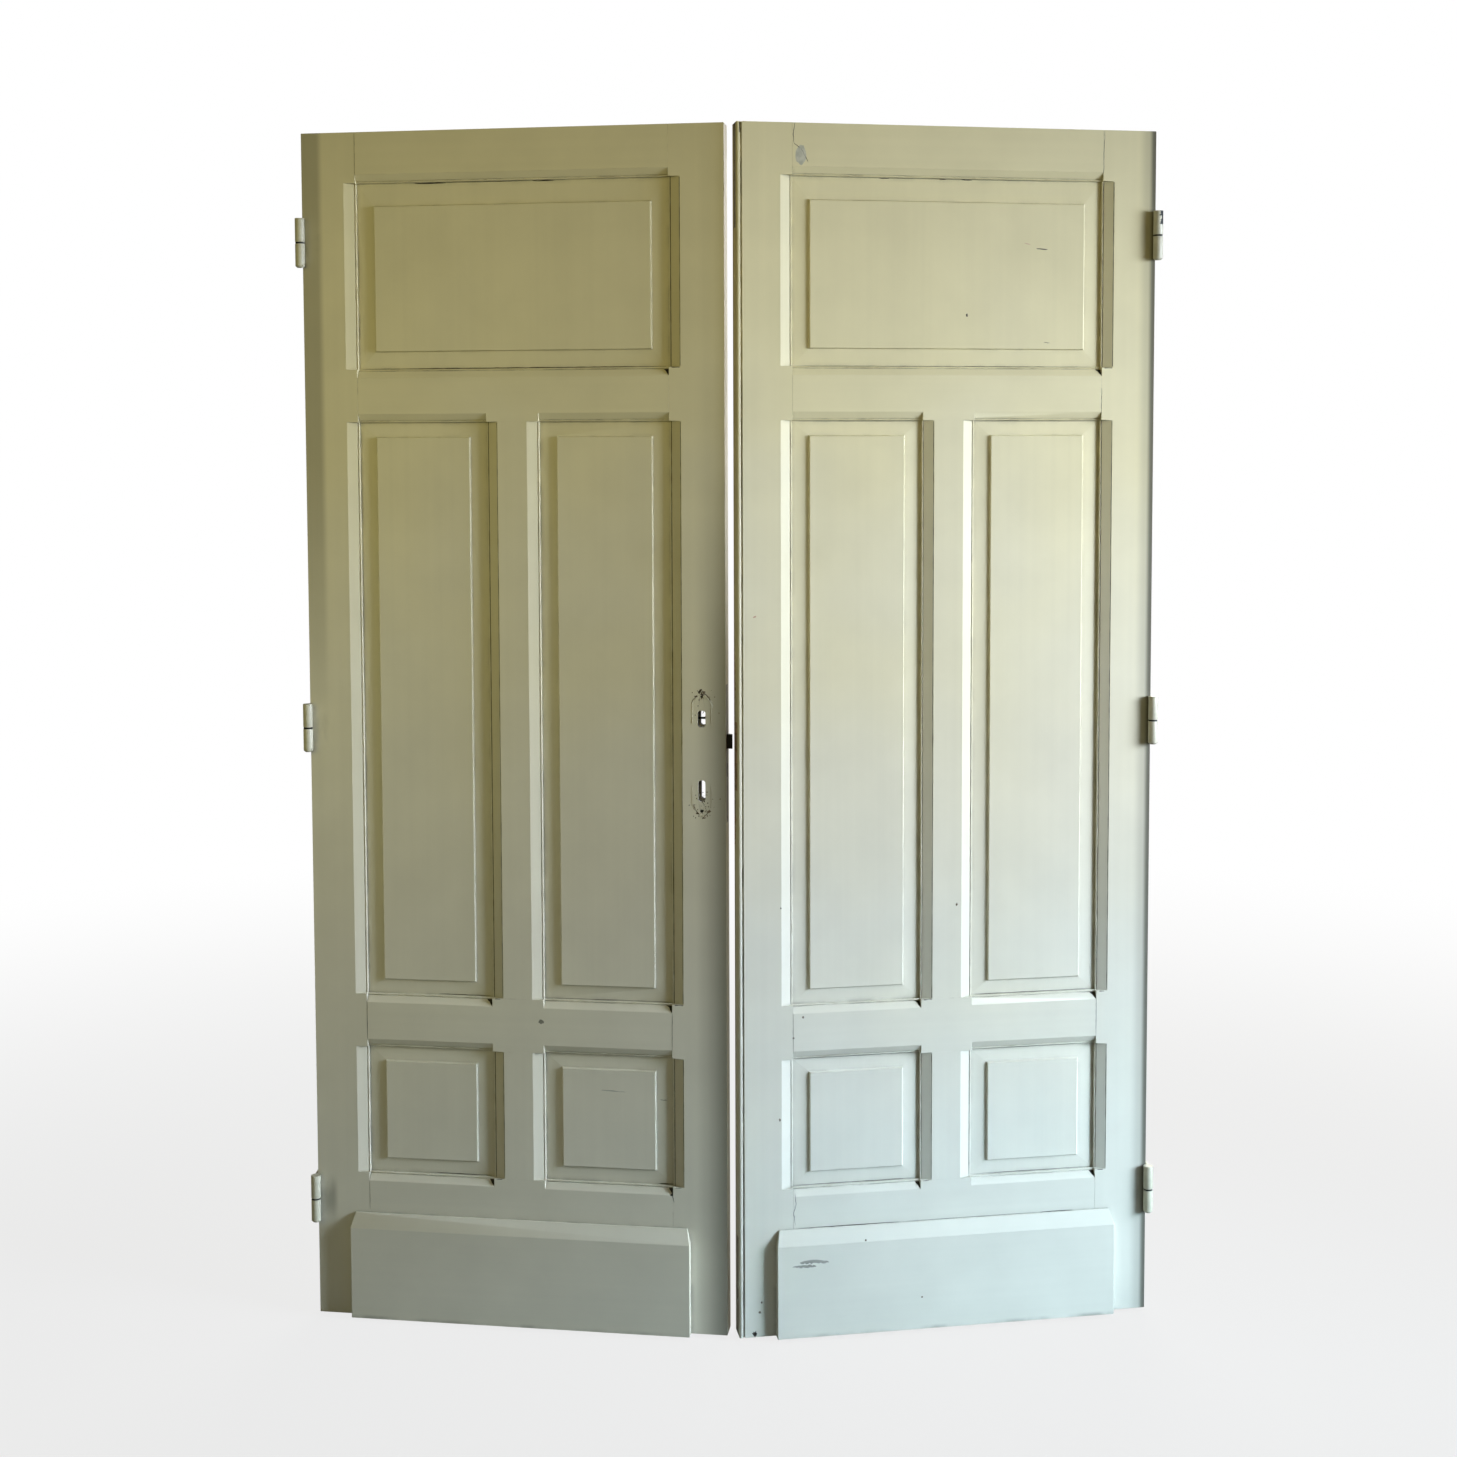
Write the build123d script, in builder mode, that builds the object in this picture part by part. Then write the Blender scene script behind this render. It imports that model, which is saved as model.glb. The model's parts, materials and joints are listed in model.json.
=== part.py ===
"""A pair of old panelled door leaves, standing ajar on lift-off hinges.

Each leaf is drawn closed, with its hinge axis as the Z axis, its width along +X and its
thickness along +Y behind the axis. It is then turned ajar and set at its side of the opening.
The right leaf is the mirror image of the left one. All lengths are in millimetres.
"""
import os
from collections import namedtuple

from build123d import *

os.makedirs("parts", exist_ok=True)

# Leaves
leaf_width = 760
leaf_height = 2150
leaf_thickness = 40
meeting_gap = 6.5
left_ajar_angle = 8.4
right_ajar_angle = 9.3

# Stiles, rails and muntins
stile_width = 98
muntin_width = 95
bottom_rail_height = 267
square_opening_height = 234.5
middle_rail_height = 98
frieze_rail_height = 94
top_opening_height = 329.5
top_rail_height = 89.5

# Chamfer, quirk and bead along each inner arris
stile_chamfer_width = 17.5
rail_chamfer_width = 11.5
chamfer_depth = 7
quirk_width = 1.3
quirk_depth = 1.5
bead_width = 2.2
bead_ease = 1

# Mortise and tenon joints, and the grooves that hold the panels
groove_width = 14
groove_depth = 10
tenon_length = 60
tenon_shoulder = 12
end_tenon_shoulder = 28
joint_clearance = 0.1
mortise_end_clearance = 2

# Fielded panels
tongue_reach = 9
tongue_clearance = 0.2
margin_clearance = 0.3
margin_rise = 1.7
field_rise = 4.5
field_bevel = 1.5
side_margin = 31
end_margin = 26
top_panel_upper_margin = 40
top_panel_lower_margin = 31

# Plinth board on the front of each leaf
plinth_inset = 66
plinth_height = 193
plinth_thickness = 18
plinth_bevel_height = 25
plinth_lip = 3
plinth_corner_clip = 6

# Hinges: lower ones placed from the foot, middle ones from mid-height, upper ones from the top
hinge_offset = 1.5
hinge_front = 9.2
left_lower_hinge_rise = 217
left_middle_hinge_rise = 12
left_upper_hinge_drop = 194
right_lower_hinge_rise = 227
right_middle_hinge_rise = 20
right_upper_hinge_drop = 185
knuckle_radius = 8.5
knuckle_length = 42
knuckle_chamfer = 3
washer_thickness = 3
washer_radius = 7.8
washer_clearance = 0.1
pin_radius = 4
pin_length = 30
pin_clearance = 0.08
pin_end_clearance = 2
flap_height = 80
flap_depth = 30
flap_thickness = 2.5
flap_screw_radius = 2.5
flap_screw_spacing = 56

# Mortise lock in the left leaf
lock_backset = 42.5
lock_case_width = 70
lock_case_thickness = 16
lock_case_height = 214
lock_case_wall = 1.5
lock_centre_height = 1050
forend_width = 20
forend_thickness = 3
forend_height = 246
case_clearance = 0.2
window_margin = 2
handle_slot_width = 13.6
handle_slot_height = 29
handle_slot_rise = 63
key_slot_width = 12.4
key_slot_height = 37.5
key_slot_drop = 65
slot_corner_clip = 3
plate_screw_radius = 2.2
plate_screw_depth = 12
upper_plate_screw_rise = 102
lower_plate_screw_drop = 101

# Latch bolt and dead bolt
bolt_clearance = 0.3
latch_rise = 22
latch_height = 26
latch_thickness = 12
latch_throw = 10
latch_head_length = 28
latch_nose_flat = 3
latch_tail_thickness = 4
latch_arm_width = 12
latch_bar_length = 40
latch_bar_height = 3.6
dead_bolt_drop = 30
dead_bolt_height = 24
dead_bolt_thickness = 10
dead_bolt_length = 50
talon_width = 10
talon_depth = 6
talon_setback = 30

# Strike plate in the right leaf
strike_thickness = 2
strike_width = 20
strike_height = 122
strike_drop = 4
strike_hole_margin = 2
strike_pocket_depth = 14

# Bead along the meeting arris of the right leaf
meeting_bead_width = 7
meeting_bead_radius = 3
meeting_quirk_width = 2.5
meeting_quirk_depth = 4

# Edge bolts of the right leaf
edge_plate_width = 18
edge_plate_height = 180
edge_plate_thickness = 2.5
edge_bolt_width = 10
edge_bolt_depth = 9
edge_bolt_length = 160
edge_bolt_throw = 20
edge_bolt_clearance = 0.3
thumb_width = 7
thumb_height = 14
thumb_setback = 84

# How far cutting shapes run past the surface that they open
overrun = 5

# Places worked out from the sizes above
opening_half = leaf_width + hinge_offset + meeting_gap / 2
hinge_edge = hinge_offset
meeting_edge = hinge_offset + leaf_width
front_face = hinge_front
back_face = hinge_front + leaf_thickness
middle_plane = hinge_front + leaf_thickness / 2
hinge_wall = hinge_edge + stile_width
meeting_wall = meeting_edge - stile_width
muntin_hinge_wall = (hinge_edge + meeting_edge - muntin_width) / 2
muntin_meeting_wall = muntin_hinge_wall + muntin_width
square_low = bottom_rail_height
square_high = square_low + square_opening_height
tall_low = square_high + middle_rail_height
top_high = leaf_height - top_rail_height
top_low = top_high - top_opening_height
tall_high = top_low - frieze_rail_height
slot_centre = meeting_edge - lock_backset
handle_slot_centre_height = lock_centre_height + handle_slot_rise
key_slot_centre_height = lock_centre_height - key_slot_drop
plate_screw_heights = (
    lock_centre_height - lower_plate_screw_drop,
    lock_centre_height + upper_plate_screw_rise,
)
latch_centre_height = lock_centre_height + latch_rise
dead_bolt_centre_height = lock_centre_height - dead_bolt_drop
strike_centre_height = lock_centre_height - strike_drop
forend_back = meeting_edge - forend_thickness
case_back = forend_back - lock_case_width
case_low = lock_centre_height - lock_case_height / 2
case_high = case_low + lock_case_height
case_front = middle_plane - lock_case_thickness / 2
case_rear = case_front + lock_case_thickness

left_hinge_heights = (
    left_lower_hinge_rise,
    leaf_height / 2 + left_middle_hinge_rise,
    leaf_height - left_upper_hinge_drop,
)
right_hinge_heights = (
    right_lower_hinge_rise,
    leaf_height / 2 + right_middle_hinge_rise,
    leaf_height - right_upper_hinge_drop,
)

Leaf = namedtuple("Leaf", "name mirrored place closed_place hinge_heights")
Opening = namedtuple("Opening", "low_x high_x low_z high_z")

left = Leaf(
    "left",
    False,
    Location((-opening_half, 0, 0), (0, 0, -left_ajar_angle)),
    Location((-opening_half, 0, 0)),
    left_hinge_heights,
)
right = Leaf(
    "right",
    True,
    Location((opening_half, 0, 0), (0, 0, right_ajar_angle)),
    Location((opening_half, 0, 0)),
    right_hinge_heights,
)

top_opening = Opening(hinge_wall, meeting_wall, top_low, top_high)
tall_hinge_opening = Opening(hinge_wall, muntin_hinge_wall, tall_low, tall_high)
tall_meeting_opening = Opening(muntin_meeting_wall, meeting_wall, tall_low, tall_high)
square_hinge_opening = Opening(hinge_wall, muntin_hinge_wall, square_low, square_high)
square_meeting_opening = Opening(muntin_meeting_wall, meeting_wall, square_low, square_high)
opening_levels = ((square_low, square_high), (tall_low, tall_high), (top_low, top_high))

# Each rail: its bottom and top edge, and how far its tenon stays from them
rails = {
    "bottom_rail": (0, square_low, end_tenon_shoulder, tenon_shoulder),
    "middle_rail": (square_high, tall_low, tenon_shoulder, tenon_shoulder),
    "frieze_rail": (tall_high, top_low, tenon_shoulder, tenon_shoulder),
    "top_rail": (top_high, leaf_height, tenon_shoulder, end_tenon_shoulder),
}


def finish(piece, name, place, mirrored):
    """Set a finished piece in its place in the opening, label it and write it."""
    if mirrored:
        piece.part = mirror(piece.part, about=Plane.YZ)
    piece.part = place * piece.part
    piece.part.label = name
    export_step(piece.part, f"parts/{name}.step")


def block(low, high, mode=Mode.ADD):
    """Box from its low corner to its high corner."""
    with Locations(low):
        Box(*[b - a for a, b in zip(low, high)], align=Align.MIN, mode=mode)


def chamfer_run(middle, into, inward, length, chamfer_width):
    """Cut chamfer, quirk and bead along an arris, square at both ends.

    The profile stands at the middle of the run, with its first axis going into the member
    from the wall of the opening and its second one going in from the face.
    """
    foot = bead_width + quirk_width
    outer = foot + chamfer_width
    quirk_floor = chamfer_depth + quirk_depth
    across = Vector(into)
    with BuildSketch(Plane(middle, x_dir=across, z_dir=across.cross(Vector(inward)))) as profile:
        with BuildLine():
            Polyline(
                (outer, 0),
                (foot, chamfer_depth),
                (foot, quirk_floor),
                (bead_width, quirk_floor),
                (bead_width, chamfer_depth),
                (bead_ease, chamfer_depth),
                (0, chamfer_depth + bead_ease),
                (-overrun, chamfer_depth + bead_ease),
                (-overrun, -overrun),
                (outer, -overrun),
                close=True,
            )
        make_face()
    extrude(profile.sketch, amount=length / 2, both=True, mode=Mode.SUBTRACT)


def both_faces(x, z, into, length, chamfer_width):
    """The same run of chamfer on the front and on the back of a member."""
    chamfer_run((x, front_face, z), into, (0, 1, 0), length, chamfer_width)
    chamfer_run((x, back_face, z), into, (0, -1, 0), length, chamfer_width)


def upright_groove(wall, inner, low, high):
    """Panel groove between two heights in the edge of an upright member."""
    block(
        (min(wall, inner), middle_plane - groove_width / 2, low),
        (max(wall, inner), middle_plane + groove_width / 2, high),
        Mode.SUBTRACT,
    )


def stile_blank(outer_edge, wall):
    """Stile with its panel grooves, mortises and stopped chamfers."""
    inward = 1 if outer_edge < wall else -1
    into = (-inward, 0, 0)
    block(
        (min(outer_edge, wall), front_face, 0),
        (max(outer_edge, wall), back_face, leaf_height),
    )
    for low, high in opening_levels:
        upright_groove(wall, wall - inward * groove_depth, low - groove_depth, high + groove_depth)
        both_faces(wall, (low + high) / 2, into, high - low, stile_chamfer_width)
    mortise_floor = wall - inward * (tenon_length + mortise_end_clearance)
    half = groove_width / 2
    for low, high, lower_shoulder, upper_shoulder in rails.values():
        block(
            (min(wall, mortise_floor), middle_plane - half, low + lower_shoulder - joint_clearance),
            (max(wall, mortise_floor), middle_plane + half, high - upper_shoulder + joint_clearance),
            Mode.SUBTRACT,
        )


def rail(low, high, lower_shoulder, upper_shoulder, openings_below, openings_above):
    """Rail between the stiles, with a tenon at each end, grooves and chamfers."""
    half_tenon = groove_width / 2 - joint_clearance
    block((hinge_wall, front_face, low), (meeting_wall, back_face, high))
    block(
        (hinge_wall - tenon_length, middle_plane - half_tenon, low + lower_shoulder),
        (meeting_wall + tenon_length, middle_plane + half_tenon, high - upper_shoulder),
    )
    half_groove = groove_width / 2
    for edge, inner, openings, into in (
        (low, low + groove_depth, openings_below, (0, 0, 1)),
        (high, high - groove_depth, openings_above, (0, 0, -1)),
    ):
        if not openings:
            continue
        block(
            (hinge_wall, middle_plane - half_groove, min(edge, inner)),
            (meeting_wall, middle_plane + half_groove, max(edge, inner)),
            Mode.SUBTRACT,
        )
        for opening in openings:
            centre = (opening.low_x + opening.high_x) / 2
            both_faces(centre, edge, into, opening.high_x - opening.low_x, rail_chamfer_width)


def muntin(low, high):
    """Upright between two rails, with stub tenons in their grooves."""
    half_tenon = groove_width / 2 - joint_clearance
    reach = groove_depth - joint_clearance
    block((muntin_hinge_wall, front_face, low), (muntin_meeting_wall, back_face, high))
    block(
        (muntin_hinge_wall + groove_depth, middle_plane - half_tenon, low - reach),
        (muntin_meeting_wall - groove_depth, middle_plane + half_tenon, high + reach),
    )
    for wall, inward in ((muntin_hinge_wall, 1), (muntin_meeting_wall, -1)):
        upright_groove(wall, wall + inward * groove_depth, low, high)
        both_faces(wall, (low + high) / 2, (inward, 0, 0), high - low, stile_chamfer_width)


def panel_section(plane, low, high, lower_margin, upper_margin):
    """Section right across a panel: tongues, sloping margins and a raised field on each face."""
    tongue = groove_width / 2 - tongue_clearance
    margin = tongue + margin_rise
    field = margin + field_rise
    face = [
        (low - tongue_reach, tongue),
        (low + margin_clearance, tongue),
        (low + lower_margin, margin),
        (low + lower_margin + field_bevel, field),
        (high - upper_margin - field_bevel, field),
        (high - upper_margin, margin),
        (high - margin_clearance, tongue),
        (high + tongue_reach, tongue),
    ]
    with BuildSketch(plane) as section:
        with BuildLine():
            Polyline(*face, *[(along, -out) for along, out in reversed(face)], close=True)
        make_face()
    return section.sketch


def panel(opening, lower_margin, upper_margin):
    """Fielded panel: its upright section, planed to its level section so that the margins mitre."""
    low_x = opening.low_x - tongue_reach
    high_x = opening.high_x + tongue_reach
    low_z = opening.low_z - tongue_reach
    high_z = opening.high_z + tongue_reach
    level = Plane((0, middle_plane, low_z), x_dir=(1, 0, 0), z_dir=(0, 0, 1))
    upright = Plane((low_x, middle_plane, 0), x_dir=(0, 0, 1), z_dir=(1, 0, 0))
    across = panel_section(level, opening.low_x, opening.high_x, side_margin, side_margin)
    along = panel_section(upright, opening.low_z, opening.high_z, lower_margin, upper_margin)
    extrude(across, amount=high_z - low_z)
    extrude(along, amount=high_x - low_x, mode=Mode.INTERSECT)


def plinth():
    """Board along the foot of the leaf, bevelled on top, with its upper corners clipped."""
    low_x = hinge_edge + plinth_inset
    high_x = meeting_edge - plinth_inset
    shoulder = plinth_height - plinth_bevel_height
    with BuildSketch(Plane((0, front_face, 0), x_dir=(1, 0, 0), z_dir=(0, -1, 0))) as elevation:
        with BuildLine():
            Polyline(
                (low_x, 0),
                (high_x, 0),
                (high_x, shoulder),
                (high_x - plinth_corner_clip, plinth_height),
                (low_x + plinth_corner_clip, plinth_height),
                (low_x, shoulder),
                close=True,
            )
        make_face()
    extrude(elevation.sketch, amount=plinth_thickness)
    proud_face = front_face - plinth_thickness
    with BuildSketch(Plane((low_x - overrun, 0, 0), x_dir=(0, 1, 0), z_dir=(1, 0, 0))) as bevel:
        with BuildLine():
            Polyline(
                (proud_face, shoulder),
                (front_face - plinth_lip, plinth_height),
                (front_face - plinth_lip, plinth_height + overrun),
                (proud_face - overrun, plinth_height + overrun),
                (proud_face - overrun, shoulder),
                close=True,
            )
        make_face()
    extrude(bevel.sketch, amount=high_x - low_x + 2 * overrun, mode=Mode.SUBTRACT)


def turned(*half_section):
    """Solid turned about the hinge axis from the points of its half section."""
    with BuildSketch(Plane.XZ) as section:
        with BuildLine():
            Polyline(*half_section, close=True)
        make_face()
    revolve(section.sketch, axis=Axis.Z)


def leaf_hinge(height):
    """Upper half of a lift-off hinge, with its flap let into the edge of the leaf."""
    low = height + washer_thickness / 2 + washer_clearance
    high = low + knuckle_length
    turned(
        (0, low),
        (knuckle_radius, low),
        (knuckle_radius, high),
        (0, high),
    )
    half_flap = flap_height / 2
    flap_far = hinge_edge + flap_thickness
    block(
        (hinge_edge, front_face, height - half_flap),
        (flap_far, front_face + flap_depth, height + half_flap),
    )
    block((hinge_edge, 0, low), (flap_far, front_face, height + half_flap))
    with Locations((0, 0, low)):
        Cylinder(
            pin_radius + pin_clearance,
            pin_length + pin_end_clearance,
            align=(Align.CENTER, Align.CENTER, Align.MIN),
            mode=Mode.SUBTRACT,
        )


def frame_hinge(height):
    """Lower half of a lift-off hinge, with its pin and a drilled flap for the door frame."""
    high = height - washer_thickness / 2
    low = high - knuckle_length
    turned(
        (0, low),
        (knuckle_radius - knuckle_chamfer, low),
        (knuckle_radius, low + knuckle_chamfer),
        (knuckle_radius, high),
        (pin_radius, high),
        (pin_radius, high + pin_length),
        (0, high + pin_length),
    )
    half_flap = flap_height / 2
    block(
        (-hinge_edge - flap_thickness, front_face, height - half_flap),
        (-hinge_edge, front_face + flap_depth, height + half_flap),
    )
    block((-hinge_edge - flap_thickness, 0, height - half_flap), (-hinge_edge, front_face, high))
    flap_centre = (-hinge_edge, front_face + flap_depth / 2, height)
    screw_reach = flap_screw_spacing / 2
    with Locations(Plane(flap_centre, x_dir=(0, 1, 0), z_dir=(1, 0, 0))):
        with Locations((0, -screw_reach), (0, screw_reach)):
            Hole(flap_screw_radius, depth=flap_thickness)


def lock_slots():
    """Slots through the stile for the handle's spindle and for the key, with clipped corners."""
    for centre_height, width, height in (
        (handle_slot_centre_height, handle_slot_width, handle_slot_height),
        (key_slot_centre_height, key_slot_width, key_slot_height),
    ):
        mouth = (slot_centre, front_face - overrun, centre_height)
        with BuildSketch(Plane(mouth, x_dir=(1, 0, 0), z_dir=(0, 1, 0))) as outline:
            Rectangle(width, height)
            chamfer(outline.vertices(), slot_corner_clip)
        extrude(outline.sketch, amount=leaf_thickness + 2 * overrun, mode=Mode.SUBTRACT)


def lock_windows():
    """Square windows in the lock case and in its cover, a little larger than the slots."""
    for centre_height, width, height in (
        (handle_slot_centre_height, handle_slot_width, handle_slot_height),
        (key_slot_centre_height, key_slot_width, key_slot_height),
    ):
        reach = width / 2 + window_margin
        half = height / 2 + window_margin
        block(
            (slot_centre - reach, case_front - overrun, centre_height - half),
            (slot_centre + reach, case_rear + overrun, centre_height + half),
            Mode.SUBTRACT,
        )


def edge_block(deep, width, low, high, mode=Mode.SUBTRACT, shallow=-overrun):
    """Box at the middle of the meeting edge, between two depths in from that edge."""
    block(
        (meeting_edge - deep, middle_plane - width / 2, low),
        (meeting_edge - shallow, middle_plane + width / 2, high),
        mode,
    )


def bolt_holes(margin, deep):
    """Holes for the latch bolt and the dead bolt, from the meeting edge inwards."""
    for centre, height, thickness in (
        (latch_centre_height, latch_height, latch_thickness),
        (dead_bolt_centre_height, dead_bolt_height, dead_bolt_thickness),
    ):
        half = height / 2 + margin
        edge_block(deep, thickness + 2 * margin, centre - half, centre + half)


def edge_bolt_place(upward, offset):
    """Height at an offset in from the top or from the bottom of the leaf."""
    return leaf_height - offset if upward else offset


def span(first, second):
    """Two heights in rising order."""
    return min(first, second), max(first, second)


# Stiles
for leaf in (left, right):
    with BuildPart() as hinge_stile:
        stile_blank(hinge_edge, hinge_wall)
        for height in leaf.hinge_heights:
            block(
                (hinge_edge - overrun, front_face - overrun, height - flap_height / 2),
                (
                    hinge_edge + flap_thickness,
                    front_face + flap_depth,
                    height + flap_height / 2,
                ),
                Mode.SUBTRACT,
            )
    finish(hinge_stile, f"{leaf.name}_hinge_stile", leaf.place, leaf.mirrored)

with BuildPart() as lock_stile:
    stile_blank(meeting_edge, meeting_wall)
    forend_half = forend_height / 2
    edge_block(
        forend_thickness,
        forend_width,
        lock_centre_height - forend_half,
        lock_centre_height + forend_half,
    )
    edge_block(
        forend_thickness + lock_case_width + case_clearance,
        lock_case_thickness + 2 * case_clearance,
        case_low - case_clearance,
        case_high + case_clearance,
    )
    lock_slots()
    for height in plate_screw_heights:
        with Locations(Plane((slot_centre, front_face, height), z_dir=(0, -1, 0))):
            Hole(plate_screw_radius, depth=plate_screw_depth)
finish(lock_stile, "left_lock_stile", left.place, left.mirrored)

with BuildPart() as meeting_stile:
    stile_blank(meeting_edge, meeting_wall)
    bead_inner = meeting_edge - meeting_bead_width
    block(
        (bead_inner - meeting_quirk_width, front_face - overrun, -overrun),
        (bead_inner, front_face + meeting_quirk_depth, leaf_height + overrun),
        Mode.SUBTRACT,
    )
    bead_face = meeting_stile.faces().filter_by(Axis.Y).filter_by(
        lambda face: abs(face.center().X - (bead_inner + meeting_edge) / 2) < meeting_bead_width / 2
    )
    fillet(bead_face.sort_by(Axis.Y)[0].edges().filter_by(Axis.Z), meeting_bead_radius)
    strike_low = strike_centre_height - strike_height / 2
    edge_block(strike_thickness, strike_width, strike_low, strike_low + strike_height)
    bolt_holes(strike_hole_margin, strike_thickness + strike_pocket_depth)
    for upward in (False, True):
        edge_block(
            edge_plate_thickness,
            edge_plate_width,
            *span(edge_bolt_place(upward, -overrun), edge_bolt_place(upward, edge_plate_height)),
        )
        edge_block(
            edge_plate_thickness + edge_bolt_depth + 2 * edge_bolt_clearance,
            edge_bolt_width + 2 * edge_bolt_clearance,
            *span(
                edge_bolt_place(upward, -overrun),
                edge_bolt_place(upward, edge_bolt_length + edge_bolt_clearance),
            ),
        )
finish(meeting_stile, "right_meeting_stile", right.place, right.mirrored)

# Rails, with the openings under and over each of them
rail_openings = {
    "bottom_rail": ((), (square_hinge_opening, square_meeting_opening)),
    "middle_rail": (
        (square_hinge_opening, square_meeting_opening),
        (tall_hinge_opening, tall_meeting_opening),
    ),
    "frieze_rail": ((tall_hinge_opening, tall_meeting_opening), (top_opening,)),
    "top_rail": ((top_opening,), ()),
}
for leaf in (left, right):
    for rail_name, sizes in rails.items():
        with BuildPart() as leaf_rail:
            rail(*sizes, *rail_openings[rail_name])
        finish(leaf_rail, f"{leaf.name}_{rail_name}", leaf.place, leaf.mirrored)

# Muntins
for leaf in (left, right):
    for muntin_name, low, high in (
        ("lower_muntin", square_low, square_high),
        ("upper_muntin", tall_low, tall_high),
    ):
        with BuildPart() as leaf_muntin:
            muntin(low, high)
        finish(leaf_muntin, f"{leaf.name}_{muntin_name}", leaf.place, leaf.mirrored)

# Panels
panels = {
    "square_panel_hinge": (square_hinge_opening, end_margin, end_margin),
    "square_panel_meeting": (square_meeting_opening, end_margin, end_margin),
    "tall_panel_hinge": (tall_hinge_opening, end_margin, end_margin),
    "tall_panel_meeting": (tall_meeting_opening, end_margin, end_margin),
    "top_panel": (top_opening, top_panel_lower_margin, top_panel_upper_margin),
}
for leaf in (left, right):
    for panel_name, sizes in panels.items():
        with BuildPart() as leaf_panel:
            panel(*sizes)
        finish(leaf_panel, f"{leaf.name}_{panel_name}", leaf.place, leaf.mirrored)

# Plinths
for leaf in (left, right):
    with BuildPart() as leaf_plinth:
        plinth()
    finish(leaf_plinth, f"{leaf.name}_plinth", leaf.place, leaf.mirrored)

# Hinges
for leaf in (left, right):
    with BuildPart() as leaf_halves:
        for height in leaf.hinge_heights:
            leaf_hinge(height)
    finish(leaf_halves, f"{leaf.name}_leaf_hinges", leaf.place, leaf.mirrored)
    with BuildPart() as frame_halves:
        for height in leaf.hinge_heights:
            frame_hinge(height)
    finish(frame_halves, f"{leaf.name}_frame_hinges", leaf.closed_place, leaf.mirrored)

# Washers between the hinge halves
for leaf in (left, right):
    with BuildPart() as washers:
        for height in leaf.hinge_heights:
            with BuildSketch(Plane.XY.offset(height - washer_thickness / 2)) as ring:
                Circle(washer_radius)
                Circle(pin_radius + pin_clearance, mode=Mode.SUBTRACT)
            extrude(ring.sketch, amount=washer_thickness)
    finish(washers, f"{leaf.name}_hinge_washers", leaf.closed_place, leaf.mirrored)

# Lock case: a shallow box that is open towards the back and towards the edge of the leaf
with BuildPart() as lock_case:
    block((case_back, case_front, case_low), (forend_back, case_rear - lock_case_wall, case_high))
    block(
        (case_back + lock_case_wall, case_front + lock_case_wall, case_low + lock_case_wall),
        (forend_back + overrun, case_rear + overrun, case_high - lock_case_wall),
        Mode.SUBTRACT,
    )
    lock_windows()
finish(lock_case, "lock_case", left.place, left.mirrored)

with BuildPart() as lock_cover:
    block((case_back, case_rear - lock_case_wall, case_low), (forend_back, case_rear, case_high))
    lock_windows()
finish(lock_cover, "lock_cover", left.place, left.mirrored)

with BuildPart() as lock_forend:
    edge_block(
        forend_thickness,
        forend_width,
        lock_centre_height - forend_half,
        lock_centre_height + forend_half,
        Mode.ADD,
        shallow=0,
    )
    bolt_holes(bolt_clearance, forend_thickness + overrun)
finish(lock_forend, "lock_forend", left.place, left.mirrored)

# Latch bolt: a bevelled head, an arm up to the handle's slot and a bar across that slot
with BuildPart() as latch_bolt:
    latch_tip = meeting_edge + latch_throw
    latch_heel = latch_tip - latch_head_length
    latch_front = middle_plane - latch_thickness / 2
    latch_rear = latch_front + latch_thickness
    with BuildSketch(Plane.XY.offset(latch_centre_height - latch_height / 2)) as latch_head:
        with BuildLine():
            Polyline(
                (latch_heel, latch_front),
                (latch_tip, latch_front),
                (latch_tip, latch_front + latch_nose_flat),
                (meeting_edge, latch_rear),
                (latch_heel, latch_rear),
                close=True,
            )
        make_face()
    extrude(amount=latch_height)
    tail_rear = latch_front + latch_tail_thickness
    bar_low = handle_slot_centre_height - latch_bar_height / 2
    block(
        (latch_heel - latch_arm_width, latch_front, latch_centre_height - latch_height / 2),
        (latch_heel, tail_rear, bar_low + latch_bar_height),
    )
    block(
        (latch_heel - latch_bar_length, latch_front, bar_low),
        (latch_heel, tail_rear, bar_low + latch_bar_height),
    )
finish(latch_bolt, "latch_bolt", left.place, left.mirrored)

with BuildPart() as dead_bolt:
    dead_low = dead_bolt_centre_height - dead_bolt_height / 2
    edge_block(
        dead_bolt_length,
        dead_bolt_thickness,
        dead_low,
        dead_low + dead_bolt_height,
        Mode.ADD,
        shallow=0,
    )
    edge_block(
        talon_setback + talon_width,
        dead_bolt_thickness,
        dead_low,
        dead_low + talon_depth,
        shallow=talon_setback,
    )
finish(dead_bolt, "dead_bolt", left.place, left.mirrored)

with BuildPart() as strike_plate:
    edge_block(
        strike_thickness,
        strike_width,
        strike_low,
        strike_low + strike_height,
        Mode.ADD,
        shallow=0,
    )
    bolt_holes(strike_hole_margin, strike_thickness + overrun)
finish(strike_plate, "strike_plate", right.place, right.mirrored)

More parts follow.
